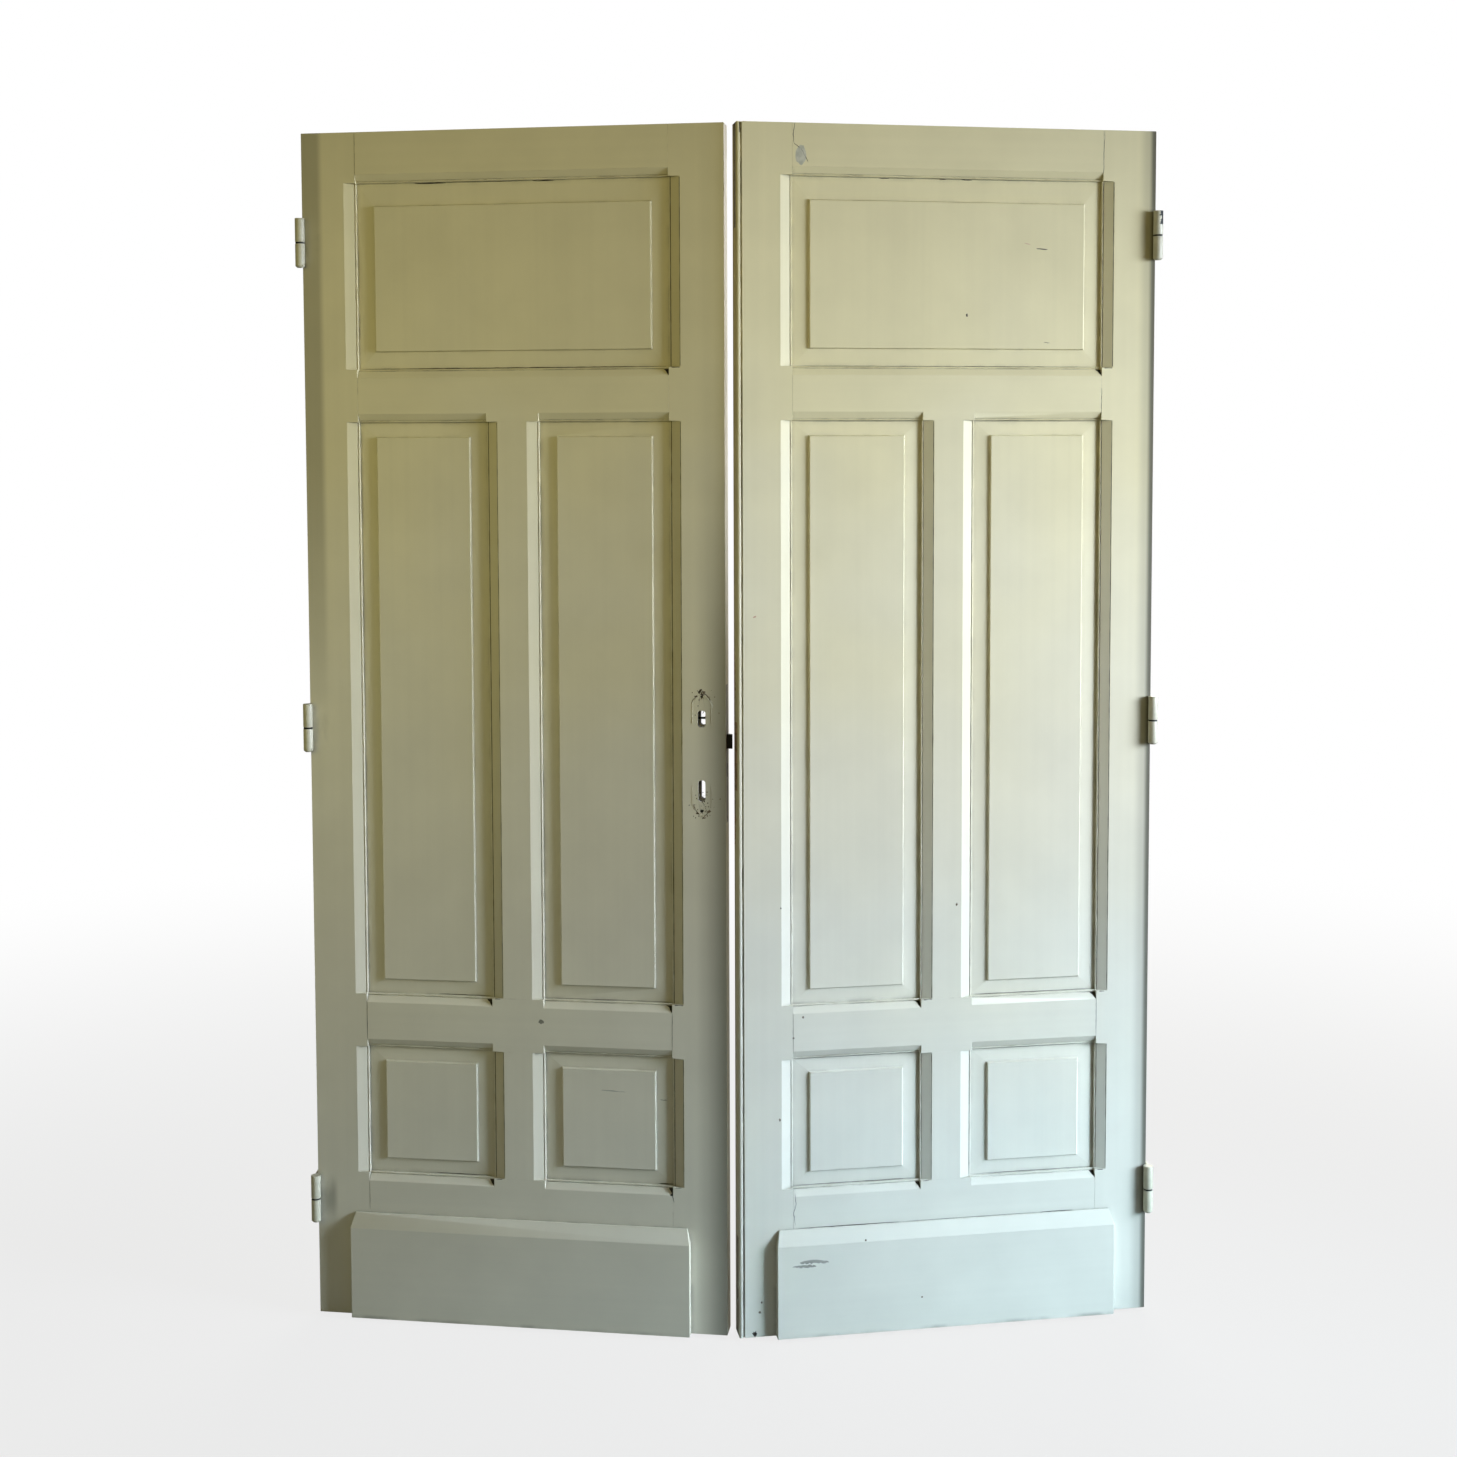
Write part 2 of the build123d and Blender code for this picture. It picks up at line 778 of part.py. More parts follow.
# Edge bolts: a slotted plate flush with the edge and a bolt that slides behind it
for bolt_name, upward in (("bottom", False), ("top", True)):
    with BuildPart() as edge_plate:
        edge_block(
            edge_plate_thickness,
            edge_plate_width,
            *span(edge_bolt_place(upward, 0), edge_bolt_place(upward, edge_plate_height)),
            Mode.ADD,
            shallow=0,
        )
        edge_block(
            edge_plate_thickness + overrun,
            thumb_width + 2 * edge_bolt_clearance,
            *span(
                edge_bolt_place(upward, thumb_setback - edge_bolt_throw - edge_bolt_clearance),
                edge_bolt_place(upward, thumb_setback + thumb_height + edge_bolt_clearance),
            ),
        )
    finish(edge_plate, f"{bolt_name}_bolt_plate", right.place, right.mirrored)
    with BuildPart() as edge_bolt:
        bolt_face = edge_plate_thickness + edge_bolt_clearance
        edge_block(
            bolt_face + edge_bolt_depth,
            edge_bolt_width,
            *span(edge_bolt_place(upward, 0), edge_bolt_place(upward, edge_bolt_length)),
            Mode.ADD,
            shallow=bolt_face,
        )
        edge_block(
            bolt_face,
            thumb_width,
            *span(
                edge_bolt_place(upward, thumb_setback),
                edge_bolt_place(upward, thumb_setback + thumb_height),
            ),
            Mode.ADD,
            shallow=0,
        )
    finish(edge_bolt, f"{bolt_name}_bolt", right.place, right.mirrored)
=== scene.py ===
"""Dress a pair of old painted door leaves: paint, wear, screws, floor, light and camera.

Lengths are in metres, apart from those of the classes that say mm. A leaf has coordinates of its
own: x runs from its hinge axis to its meeting edge, y from its front to its back, and z up from
its foot.
"""
import json
import logging
import math
import random
from dataclasses import dataclass
from enum import Enum
from typing import Callable, Sequence

import bmesh
import bpy
from mathutils import Matrix, Vector

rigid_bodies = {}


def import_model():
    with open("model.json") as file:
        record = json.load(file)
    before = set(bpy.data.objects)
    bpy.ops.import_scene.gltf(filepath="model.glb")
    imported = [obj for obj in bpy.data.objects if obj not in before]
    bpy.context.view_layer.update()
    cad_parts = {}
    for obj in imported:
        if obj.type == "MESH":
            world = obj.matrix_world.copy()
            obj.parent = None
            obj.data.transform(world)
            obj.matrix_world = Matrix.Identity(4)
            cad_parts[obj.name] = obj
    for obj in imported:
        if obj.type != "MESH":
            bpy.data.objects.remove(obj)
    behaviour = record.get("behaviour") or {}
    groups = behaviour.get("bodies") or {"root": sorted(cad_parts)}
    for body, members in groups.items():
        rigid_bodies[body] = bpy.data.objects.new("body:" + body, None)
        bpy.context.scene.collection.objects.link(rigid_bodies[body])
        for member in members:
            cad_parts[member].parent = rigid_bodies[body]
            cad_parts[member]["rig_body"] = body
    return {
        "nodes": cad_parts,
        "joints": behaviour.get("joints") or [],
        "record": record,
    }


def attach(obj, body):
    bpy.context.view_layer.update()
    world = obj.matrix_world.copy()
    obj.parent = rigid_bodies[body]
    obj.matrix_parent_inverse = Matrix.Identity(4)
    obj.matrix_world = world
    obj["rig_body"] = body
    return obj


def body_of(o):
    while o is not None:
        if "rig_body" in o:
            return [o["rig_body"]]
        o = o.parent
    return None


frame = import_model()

LOG = logging.getLogger("double_door")
MM = 0.001
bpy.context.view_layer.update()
Colour = tuple[float, float, float]
Point = tuple[float, float]
Triple = tuple[float, float, float]

FLOAT = "NodeSocketFloat"
VECTOR = "NodeSocketVector"
COLOUR = "NodeSocketColor"
WHITE = (1.0, 1.0, 1.0, 1.0)
NOISE_MIDDLE = 0.5

CHAMFER_DEPTH = 7 * MM
PANEL_RISE = 5.9 * MM
HINGE_EDGE = 1.5 * MM

RIM_RISE = 0.05
RIDGE_CREST = 0.45
RIDGE = ((1.0, RIM_RISE), (RIDGE_CREST, 1.0), (-RIDGE_CREST, 1.0), (-1.0, RIM_RISE))
BLOT_CREST = 0.86
SCREW_FLOOR = 0.1
SCREW_CREST = 0.93


class Side(Enum):
    """The two leaves."""

    LEFT = "left"
    RIGHT = "right"


class Slot(Enum):
    """The record's material slots."""

    WOOD = "painted_wood"
    HINGE = "painted_hinge"
    STEEL = "lock_steel"
    IRON = "dark_iron"


class Grain(Enum):
    """The way that the brush went, as marks per metre along x, y and z."""

    UPRIGHT = (420.0, 420.0, 5.0)
    LEVEL = (5.0, 420.0, 420.0)


class Tone(Enum):
    """What shows at a mark; the near-black, dark olive and grey tones also colour painted shade in quirks,
    on arrises, in corners and inside the slots.
    """

    CRACK = "crack"
    CHIP = "chipped_paint"
    UNDERCOAT = "undercoat"
    WOOD = "rubbed_wood"
    SCUFF = "scuff"
    GREY_DIRT = "grey_dirt"


class Surface(Enum):
    """The faces of a leaf that carry marks."""

    FACE = "face"
    FIELD = "field"
    PLINTH = "plinth"
    QUIRK = "quirk"
    SUNK = "sunk edge"


def rgba(colour: Colour) -> tuple[float, float, float, float]:
    """A colour with full opacity."""
    return (*colour, 1.0)


class Graph:
    """Lays nodes in one node tree and joins them."""

    def __init__(self, tree: bpy.types.NodeTree) -> None:
        """Keep the tree that the nodes go into."""
        self.tree = tree

    def feed(self, socket: bpy.types.NodeSocket, value: object) -> None:
        """Join a socket to another one, or give it a plain value.

        Args:
            socket: the socket to feed.
            value: the other socket, or the value.
        """
        if isinstance(value, bpy.types.NodeSocket):
            self.tree.links.new(value, socket)
        else:
            socket.default_value = value

    def node(self, kind: str, inputs: dict | None = None, **settings: object) -> bpy.types.Node:
        """Add a node.

        Args:
            kind: Blender's name for the type of node.
            inputs: a value or a socket for each input, by its name or number.
            settings: other attributes of the node.

        Returns:
            The new node.
        """
        node = self.tree.nodes.new(kind)
        for name, setting in settings.items():
            setattr(node, name, setting)
        for key, value in (inputs or {}).items():
            self.feed(node.inputs[key], value)
        return node

    def math(self, operation: str, first: object, second: object = 0.0) -> bpy.types.NodeSocket:
        """Sum, product or other operation on two values."""
        return self.node("ShaderNodeMath", {0: first, 1: second}, operation=operation).outputs[0]

    def times(self, first: object, second: object) -> bpy.types.NodeSocket:
        """Product of two values."""
        return self.math("MULTIPLY", first, second)

    def rest(self, value: object) -> bpy.types.NodeSocket:
        """What a value leaves of 1."""
        return self.math("SUBTRACT", 1.0, value)

    def lift(self, base: object, value: object, amount: object) -> bpy.types.NodeSocket:
        """A base and so much of a value on top of it."""
        return self.math("ADD", base, self.times(value, amount))

    def swing(self, cloud: object, amount: float) -> bpy.types.NodeSocket:
        """So much of a cloudy value, on both sides of 0."""
        return self.times(self.math("SUBTRACT", cloud, NOISE_MIDDLE), amount)

    def ramp(self, value: object, low: float, high: float) -> bpy.types.NodeSocket:
        """Smooth rise from 0 to 1 while a value goes from low to high."""
        inputs = {"Value": value, "From Min": low, "From Max": high}
        return self.node("ShaderNodeMapRange", inputs, interpolation_type="SMOOTHSTEP").outputs[0]

    def fall(self, value: object, low: float, high: float) -> bpy.types.NodeSocket:
        """Smooth fall from 1 to 0 while a value goes from low to high."""
        return self.rest(self.ramp(value, low, high))

    def mix(
        self, factor: object, first: object, second: object, blend: str = "MIX"
    ) -> bpy.types.NodeSocket:
        """Blend of two colours."""
        inputs = {0: factor, 6: first, 7: second}
        return self.node("ShaderNodeMix", inputs, data_type="RGBA", blend_type=blend).outputs[2]

    def noise(self, vector: object, scale: float, detail: float = 2.0) -> bpy.types.NodeSocket:
        """Cloudy value, with about so many clouds per metre."""
        inputs = {"Vector": vector, "Scale": scale, "Detail": detail}
        return self.node("ShaderNodeTexNoise", inputs).outputs[0]

    def stretch(self, vector: object, scale: object) -> bpy.types.NodeSocket:
        """Position with each of its axes scaled by itself."""
        return self.node("ShaderNodeVectorMath", {0: vector, 1: scale}, operation="MULTIPLY").outputs[0]

    def split(self, vector: object) -> tuple[bpy.types.NodeSocket, ...]:
        """The x, y and z of a position."""
        return tuple(self.node("ShaderNodeSeparateXYZ", {0: vector}).outputs)

    def group(self, tree: bpy.types.NodeTree, inputs: dict) -> bpy.types.Node:
        """Put a node group in."""
        return self.node("ShaderNodeGroup", inputs, node_tree=tree)


def open_group(name: str, inputs: dict[str, str], outputs: dict[str, str]) -> tuple[Graph, dict, dict]:
    """Start a shader node group.

    Args:
        name: the group's name.
        inputs: the type of each input socket, by name.
        outputs: the type of each output socket, by name.

    Returns:
        Its graph, its inputs to read from and its outputs to feed, by name.
    """
    tree = bpy.data.node_groups.new(name, "ShaderNodeTree")
    for label, kind in inputs.items():
        tree.interface.new_socket(label, in_out="INPUT", socket_type=kind)
    for label, kind in outputs.items():
        tree.interface.new_socket(label, in_out="OUTPUT", socket_type=kind)
    entry = tree.nodes.new("NodeGroupInput")
    leave = tree.nodes.new("NodeGroupOutput")
    sources = {label: entry.outputs[label] for label in inputs}
    sinks = {label: leave.inputs[label] for label in outputs}
    return Graph(tree), sources, sinks


@dataclass
class Effects:
    """The surface effects that the finishes share, each a node group that is built once."""

    wide_stroke: float = 0.16
    fine_rise: float = 0.5
    wave_scale: float = 7.0
    wave_rise: float = 5.0
    drift_scale: float = 2.2
    drift: float = 0.5
    lower_change: Point = (0.08, 0.52)
    upper_change: Point = (0.42, 0.86)
    cloud_scale: float = 9.0
    cloud: float = 0.16
    dirt_and_shade_scale: float = 26.0
    dirt_and_shade_patches: Point = (0.32, 0.68)
    dirt_and_shade_shelter: Point = (0.16, 0.62)
    dirt_and_shade_least: float = 0.3
    wear_scale: float = 38.0
    wear_patches: Point = (0.52, 0.66)
    wear_turn: Point = (0.02, 0.12)

    def __post_init__(self) -> None:
        """Build every group."""
        self.brush_marks = self.build_brush_marks()
        self.ageing_and_light = self.build_ageing_and_light()
        self.dirt_and_shade = self.build_dirt_and_shade()
        self.arris_wear = self.build_arris_wear()

    def build_brush_marks(self) -> bpy.types.NodeTree:
        """Fine ridges that a brush leaves along its strokes, over slow waves in the board.

        Returns:
            A group from Position and Grain to Height and Streak.
        """
        graph, enter, leave = open_group(
            "brush_marks", {"Position": VECTOR, "Grain": VECTOR}, {"Height": FLOAT, "Streak": FLOAT}
        )
        along = graph.stretch(enter["Position"], enter["Grain"])
        fine = graph.noise(along, 1.0, detail=3.0)
        wide = graph.noise(along, self.wide_stroke)
        wave = graph.noise(enter["Position"], self.wave_scale, detail=1.0)
        ridges = graph.lift(wide, fine, self.fine_rise)
        graph.feed(leave["Height"], graph.lift(ridges, wave, self.wave_rise))
        graph.feed(leave["Streak"], wide)
        return graph.tree

    def build_ageing_and_light(self) -> bpy.types.NodeTree:
        """Paint that is yellower above and greyer below, in soft clouds: partly ageing, partly painted
        light standing for warm light from above and cool light near the foot.

        Returns:
            A group from Position, Span, Top, Middle and Foot to Color.
        """
        graph, enter, leave = open_group(
            "paint_ageing_and_painted_light",
            {"Position": VECTOR, "Span": FLOAT, "Top": COLOUR, "Middle": COLOUR, "Foot": COLOUR},
            {"Color": COLOUR},
        )
        height = graph.math("DIVIDE", graph.split(enter["Position"])[2], enter["Span"])
        drift = graph.swing(graph.noise(enter["Position"], self.drift_scale), self.drift)
        level = graph.math("ADD", height, drift)
        lower = graph.mix(graph.ramp(level, *self.lower_change), enter["Foot"], enter["Middle"])
        upper = graph.mix(graph.ramp(level, *self.upper_change), lower, enter["Top"])
        cloud = graph.noise(enter["Position"], self.cloud_scale, detail=4.0)
        tone = graph.math("ADD", 1.0, graph.swing(cloud, self.cloud))
        graph.feed(leave["Color"], graph.mix(1.0, upper, tone, "MULTIPLY"))
        return graph.tree

    def build_dirt_and_shade(self) -> bpy.types.NodeTree:
        """Dirt and painted shade in corners, quirks and joints: darker where ambient occlusion finds the
        surface sheltered.

        Returns:
            A group from Position, Reach and Amount to Mask.
        """
        graph, enter, leave = open_group(
            "crevice_dirt_and_shade", {"Position": VECTOR, "Reach": FLOAT, "Amount": FLOAT}, {"Mask": FLOAT}
        )
        shelter = graph.node("ShaderNodeAmbientOcclusion", {"Distance": enter["Reach"]}, samples=3)
        closed = graph.rest(shelter.outputs["AO"])
        cloud = graph.noise(enter["Position"], self.dirt_and_shade_scale, detail=4.0)
        patchy = graph.math("ADD", self.dirt_and_shade_least, graph.ramp(cloud, *self.dirt_and_shade_patches))
        sheltered_patches = graph.times(graph.ramp(closed, *self.dirt_and_shade_shelter), patchy)
        graph.feed(leave["Mask"], graph.times(sheltered_patches, enter["Amount"]))
        return graph.tree

    def build_arris_wear(self) -> bpy.types.NodeTree:
        """Paint rubbed away along sharp edges, in broken patches.

        Returns:
            A group from Position, Width and Amount to Mask.
        """
        graph, enter, leave = open_group(
            "arris_wear", {"Position": VECTOR, "Width": FLOAT, "Amount": FLOAT}, {"Mask": FLOAT}
        )
        rounded = graph.node("ShaderNodeBevel", {"Radius": enter["Width"]}, samples=2)
        plain = graph.node("ShaderNodeNewGeometry")
        inputs = {0: rounded.outputs[0], 1: plain.outputs["Normal"]}
        flat = graph.node("ShaderNodeVectorMath", inputs, operation="DOT_PRODUCT").outputs["Value"]
        edge = graph.ramp(graph.rest(flat), *self.wear_turn)
        cloud = graph.noise(enter["Position"], self.wear_scale, detail=5.0)
        broken = graph.times(edge, graph.ramp(cloud, *self.wear_patches))
        graph.feed(leave["Mask"], graph.times(broken, enter["Amount"]))
        return graph.tree

    def dirt_and_shade_in(
        self, graph: Graph, place: bpy.types.NodeSocket, reach: float, amount: float
    ) -> bpy.types.NodeSocket:
        """Mask of the soiling and painted shade in the corners of a finish."""
        inputs = {"Position": place, "Reach": reach, "Amount": amount}
        return graph.group(self.dirt_and_shade, inputs).outputs["Mask"]

    def wear_on(
        self, graph: Graph, place: bpy.types.NodeSocket, width: float, amount: float
    ) -> bpy.types.NodeSocket:
        """Mask of the wear along the edges of a finish."""
        inputs = {"Position": place, "Width": width, "Amount": amount}
        return graph.group(self.arris_wear, inputs).outputs["Mask"]


@dataclass
class LeafPlace:
    """Where one leaf stands, and where its faces lie."""

    side: Side
    turn: float
    axis: Vector

    @classmethod
    def of(cls, side: Side) -> "LeafPlace":
        """Read a leaf's place from the joint that it swings on.

        Args:
            side: which leaf.

        Returns:
            Its place.
        """
        joint = next(j for j in frame["joints"] if j["name"] == f"{side.value}_leaf_swing")
        ajar = -math.radians(joint["range_deg"][0])
        foot = Vector((joint["pos_m"][0], joint["pos_m"][1], 0.0))
        return cls(side, -ajar if side is Side.LEFT else ajar, foot)

    @property
    def body(self) -> str:
        """The body that the leaf's pieces ride on."""
        return f"{self.side.value}_leaf"

    @property
    def hand(self) -> Vector:
        """Scale that mirrors the right leaf."""
        return Vector((1.0 if self.side is Side.LEFT else -1.0, 1.0, 1.0))

    @property
    def matrix(self) -> Matrix:
        """From the leaf's own coordinates to the scene's."""
        swing = Matrix.Translation(self.axis) @ Matrix.Rotation(self.turn, 4, "Z")
        return swing @ Matrix.Diagonal((*self.hand, 1.0))

    def box(self, node: str) -> tuple[Vector, Vector]:
        """Lowest and highest corner of a piece of this leaf, in the leaf's own coordinates.

        Args:
            node: the piece's name, with {side} where it names the leaf.

        Returns:
            The two corners.
        """
        back = self.matrix.inverted()
        mesh = frame["nodes"][node.format(side=self.side.value)].data
        points = [back @ vertex.co for vertex in mesh.vertices]
        low = Vector(min(p[i] for p in points) for i in range(3))
        high = Vector(max(p[i] for p in points) for i in range(3))
        return low, high

    def depth(self, surface: Surface) -> float:
        """How far behind the hinge axis a surface of the leaf lies.

        Args:
            surface: the surface.

        Returns:
            Its depth.
        """
        if surface is Surface.FACE:
            return self.box("{side}_hinge_stile")[0].y
        if surface is Surface.QUIRK:
            return self.box("{side}_hinge_stile")[0].y + CHAMFER_DEPTH
        if surface is Surface.PLINTH:
            return self.box("{side}_plinth")[0].y
        field = self.box("{side}_top_panel")[0].y
        return field if surface is Surface.FIELD else field + PANEL_RISE

    def hinge_heights(self) -> list[float]:
        """Heights of the middles of the leaf's hinges."""
        mounts = frame["record"]["mounts"]
        return [mount["pos_m"][2] for mount in mounts if mount["name"].startswith(self.side.value)]

    def position(self, graph: Graph) -> bpy.types.NodeSocket:
        """The leaf's own coordinates, for a material.

        Args:
            graph: the material's graph.

        Returns:
            The position in them.
        """
        place = graph.node("ShaderNodeTexCoord").outputs["Object"]
        turn = (0, 0, self.turn)
        inputs = {"Vector": place, "Location": self.axis, "Rotation": turn, "Scale": self.hand}
        return graph.node("ShaderNodeMapping", inputs, vector_type="TEXTURE").outputs[0]


def new_material(name: str) -> tuple[bpy.types.Material, Graph, bpy.types.Node]:
    """Start a material.

    Args:
        name: the material's name.

    Returns:
        The material, its graph and its Principled shader.
    """
    material = bpy.data.materials.new(name)
    material.use_nodes = True
    graph = Graph(material.node_tree)
    return material, graph, material.node_tree.nodes["Principled BSDF"]


@dataclass(frozen=True)
class PaintFinish:
    """Old ivory gloss paint, brushed on, yellower above and greyer below partly from ageing and partly as
    painted light, and darkened in its corners by soiling and painted shade.
    """

    # The yellow top and the greyer foot are partly painted light: warm light from above, cool light below.
    top: Colour = (0.74, 0.68, 0.44)
    middle: Colour = (0.74, 0.71, 0.57)
    foot: Colour = (0.71, 0.71, 0.64)
    dirt_and_shade_colour: Colour = (0.08, 0.078, 0.058)
    bare: Colour = (0.20, 0.14, 0.08)
    span: float = 2.15
    dirt_and_shade_reach: float = 9 * MM
    dirt_and_shade_amount: float = 0.48
    wear_width: float = 1.2 * MM
    wear_amount: float = 0.55
    # Bands of painted shade: along the hinge edges, and on the left leaf towards its meeting edge lower
    # down.
    wide_band: Point = (14 * MM, 36 * MM)
    narrow_band: Point = (5 * MM, 15 * MM)
    left_band: Point = (28 * MM, 42 * MM)
    wide_band_amount: float = 0.28
    narrow_band_amount: float = 0.62
    left_band_rise: Point = (0.95, 1.6)
    left_band_amount: float = 0.42
    lock_band: Point = (700 * MM, 764 * MM)
    lock_band_fall: Point = (1.1, 1.75)
    lock_band_amount: float = 0.6
    front_skin: Point = (10 * MM, 12 * MM)
    hinge_darkening: float = 0.5
    hinge_darkening_reach: Point = (6 * MM, 58 * MM)
    hinge_darkening_patches: Point = (0.3, 0.6)
    foot_band: float = 9 * MM
    foot_patches: Point = (0.38, 0.72)
    foot_amount: float = 0.5
    smudge_stretch: Triple = (1.0, 1.0, 0.4)
    smudge_scale: float = 14.0
    streak_base: float = 0.97
    streak: float = 0.06
    specular: float = 0.35
    roughness_low: float = 0.40
    roughness_high: float = 0.60
    dirt_and_shade_roughness: float = 0.3
    bump: float = 0.3
    bump_depth: float = 0.25 * MM

    def build(self, leaf: LeafPlace, grain: Grain, effects: Effects) -> bpy.types.Material:
        """Make the paint of one leaf, brushed one way.

        Args:
            leaf: the leaf that it is on.
            grain: the way that the brush went.
            effects: the shared node groups.

        Returns:
            The material.
        """
        material, graph, shader = new_material(f"{leaf.side.value}_paint_{grain.name.lower()}")
        place = leaf.position(graph)
        brush = graph.group(effects.brush_marks, {"Position": place, "Grain": grain.value})
        colours = {"Top": rgba(self.top), "Middle": rgba(self.middle), "Foot": rgba(self.foot)}
        ageing_and_light = graph.group(effects.ageing_and_light, {"Position": place, "Span": self.span, **colours})
        # Painted shade: the occlusion mask darkens corners, quirks and joints, together with real soiling.
        dirt_and_shade = effects.dirt_and_shade_in(graph, place, self.dirt_and_shade_reach, self.dirt_and_shade_amount)
        wear = effects.wear_on(graph, place, self.wear_width, self.wear_amount)
        smudge = graph.noise(graph.stretch(place, self.smudge_stretch), self.smudge_scale, detail=5.0)
        mask = graph.math("MAXIMUM", dirt_and_shade, self.stains_and_painted_shade(graph, leaf, place, smudge))
        colour = graph.mix(mask, ageing_and_light.outputs["Color"], rgba(self.dirt_and_shade_colour))
        colour = graph.mix(wear, colour, rgba(self.bare))
        streak = graph.lift(self.streak_base, brush.outputs["Streak"], self.streak)
        graph.feed(shader.inputs["Base Color"], graph.mix(1.0, colour, streak, "MULTIPLY"))
        inputs = {"Value": smudge, "To Min": self.roughness_low, "To Max": self.roughness_high}
        gloss = graph.node("ShaderNodeMapRange", inputs).outputs[0]
        graph.feed(shader.inputs["Roughness"], graph.lift(gloss, mask, self.dirt_and_shade_roughness))
        shader.inputs["Specular IOR Level"].default_value = self.specular
        inputs = {"Strength": self.bump, "Distance": self.bump_depth, "Height": brush.outputs["Height"]}
        relief = graph.node("ShaderNodeBump", inputs)
        graph.feed(shader.inputs["Normal"], relief.outputs[0])
        return material

    def stains_and_painted_shade(
        self,
        graph: Graph,
        leaf: LeafPlace,
        place: bpy.types.NodeSocket,
        smudge: bpy.types.NodeSocket,
    ) -> bpy.types.NodeSocket:
        """Dirt along the foot, and painted shade on the front along its upright edges, darker beside each
        hinge.

        Args:
            graph: the paint's graph.
            leaf: the leaf that it is on.
            place: the position in the leaf's own coordinates.
            smudge: a cloudy value.

        Returns:
            The mask of the soiling and of the painted shade.
        """
        across, depth, height = graph.split(place)
        if leaf.side is Side.LEFT:
            # Painted shade on the left leaf: a band along the hinge edge higher up, and one that darkens
            # towards the meeting edge lower down.
            margin = graph.fall(across, *self.left_band)
            rise = graph.times(graph.ramp(height, *self.left_band_rise), self.left_band_amount)
            meeting_shade = graph.fall(height, *self.lock_band_fall)
            meeting_shade = graph.times(graph.ramp(across, *self.lock_band), meeting_shade)
            meeting_shade = graph.times(meeting_shade, self.lock_band_amount)
            mask = graph.math("MAXIMUM", graph.times(margin, rise), meeting_shade)
        else:
            # Painted shade on the right leaf: a wide and a narrow band along the hinge edge.
            margin = graph.fall(across, *self.wide_band)
            wide = graph.times(margin, self.wide_band_amount)
            mask = graph.lift(wide, graph.fall(across, *self.narrow_band), self.narrow_band_amount)
        # Darker in patches beside each hinge, inside the hinge-edge band of painted shade.
        for hinge in leaf.hinge_heights():
            away = graph.math("ABSOLUTE", graph.math("SUBTRACT", height, hinge))
            near = graph.times(graph.fall(away, *self.hinge_darkening_reach), margin)
            spot = graph.times(near, graph.ramp(smudge, *self.hinge_darkening_patches))
            mask = graph.math("MAXIMUM", mask, graph.times(spot, self.hinge_darkening))
        front = graph.times(mask, graph.fall(depth, *self.front_skin))
        low = graph.times(graph.fall(height, 0.0, self.foot_band), graph.ramp(smudge, *self.foot_patches))
        return graph.math("MAXIMUM", graph.times(low, self.foot_amount), front)


@dataclass(frozen=True)
class MetalFinish:
    """Metal with a skin of paint, rust or grease that breaks at its edges."""

    name: str
    skin: Colour
    core: Colour
    metallic: float
    roughness: float
    wear_amount: float
    wear_width: float = 1.4 * MM
    dirt_and_shade_reach: float = 6 * MM
    dirt_and_shade_amount: float = 0.7
    mottle: float = 120.0
    tone_base: float = 0.82
    tone: float = 0.36
    roughness_swing: float = 0.3
    bump: float = 0.3
    bump_depth: float = 0.15 * MM

    def build(self, effects: Effects) -> bpy.types.Material:
        """Make the metal.

        Args:
            effects: the shared node groups.

        Returns:
            The material.
        """
        material, graph, shader = new_material(self.name)
        place = graph.node("ShaderNodeTexCoord").outputs["Object"]
        cloud = graph.noise(place, self.mottle, detail=4.0)
        # Soiling and painted shade: hollows found by ambient occlusion go over to the core colour.
        dirt_and_shade = effects.dirt_and_shade_in(graph, place, self.dirt_and_shade_reach, self.dirt_and_shade_amount)
        wear = effects.wear_on(graph, place, self.wear_width, self.wear_amount)
        tone = graph.lift(self.tone_base, cloud, self.tone)
        colour = graph.mix(1.0, rgba(self.skin), tone, "MULTIPLY")
        for bare in (wear, dirt_and_shade):
            colour = graph.mix(bare, colour, rgba(self.core))
        graph.feed(shader.inputs["Base Color"], colour)
        shader.inputs["Metallic"].default_value = self.metallic
        spread = graph.swing(cloud, self.roughness_swing)
        graph.feed(shader.inputs["Roughness"], graph.math("ADD", self.roughness, spread))
        inputs = {"Strength": self.bump, "Distance": self.bump_depth, "Height": cloud}
        relief = graph.node("ShaderNodeBump", inputs)
        graph.feed(shader.inputs["Normal"], relief.outputs[0])
        return material


@dataclass(frozen=True)
class MarkFinish:
    """The matt colour of cracks, chips and scuffs, and of painted shade in quirks, on arrises, in corners
    and in slots, cloudy at its own scale.
    """

    name: str
    dark: Colour
    light: Colour
    scale: float = 180.0
    roughness: float = 0.8
    patchy: bool = False
    change: Point = (0.35, 0.65)
    thin: float = 0.06
    thick: float = 0.16
    patches: Point = (0.3, 0.7)

    def build(self) -> bpy.types.Material:
        """Make the mark's material.

        Returns:
            The material.
        """
        material, graph, shader = new_material(self.name)
        place = graph.node("ShaderNodeTexCoord").outputs["Object"]
        cloud = graph.noise(place, self.scale, detail=4.0)
        colour = graph.mix(graph.ramp(cloud, *self.change), rgba(self.dark), rgba(self.light))
        graph.feed(shader.inputs["Base Color"], colour)
        shader.inputs["Roughness"].default_value = self.roughness
        if self.patchy:
            cover = graph.lift(self.thin, graph.ramp(cloud, *self.patches), self.thick)
            graph.feed(shader.inputs["Alpha"], cover)
        return material


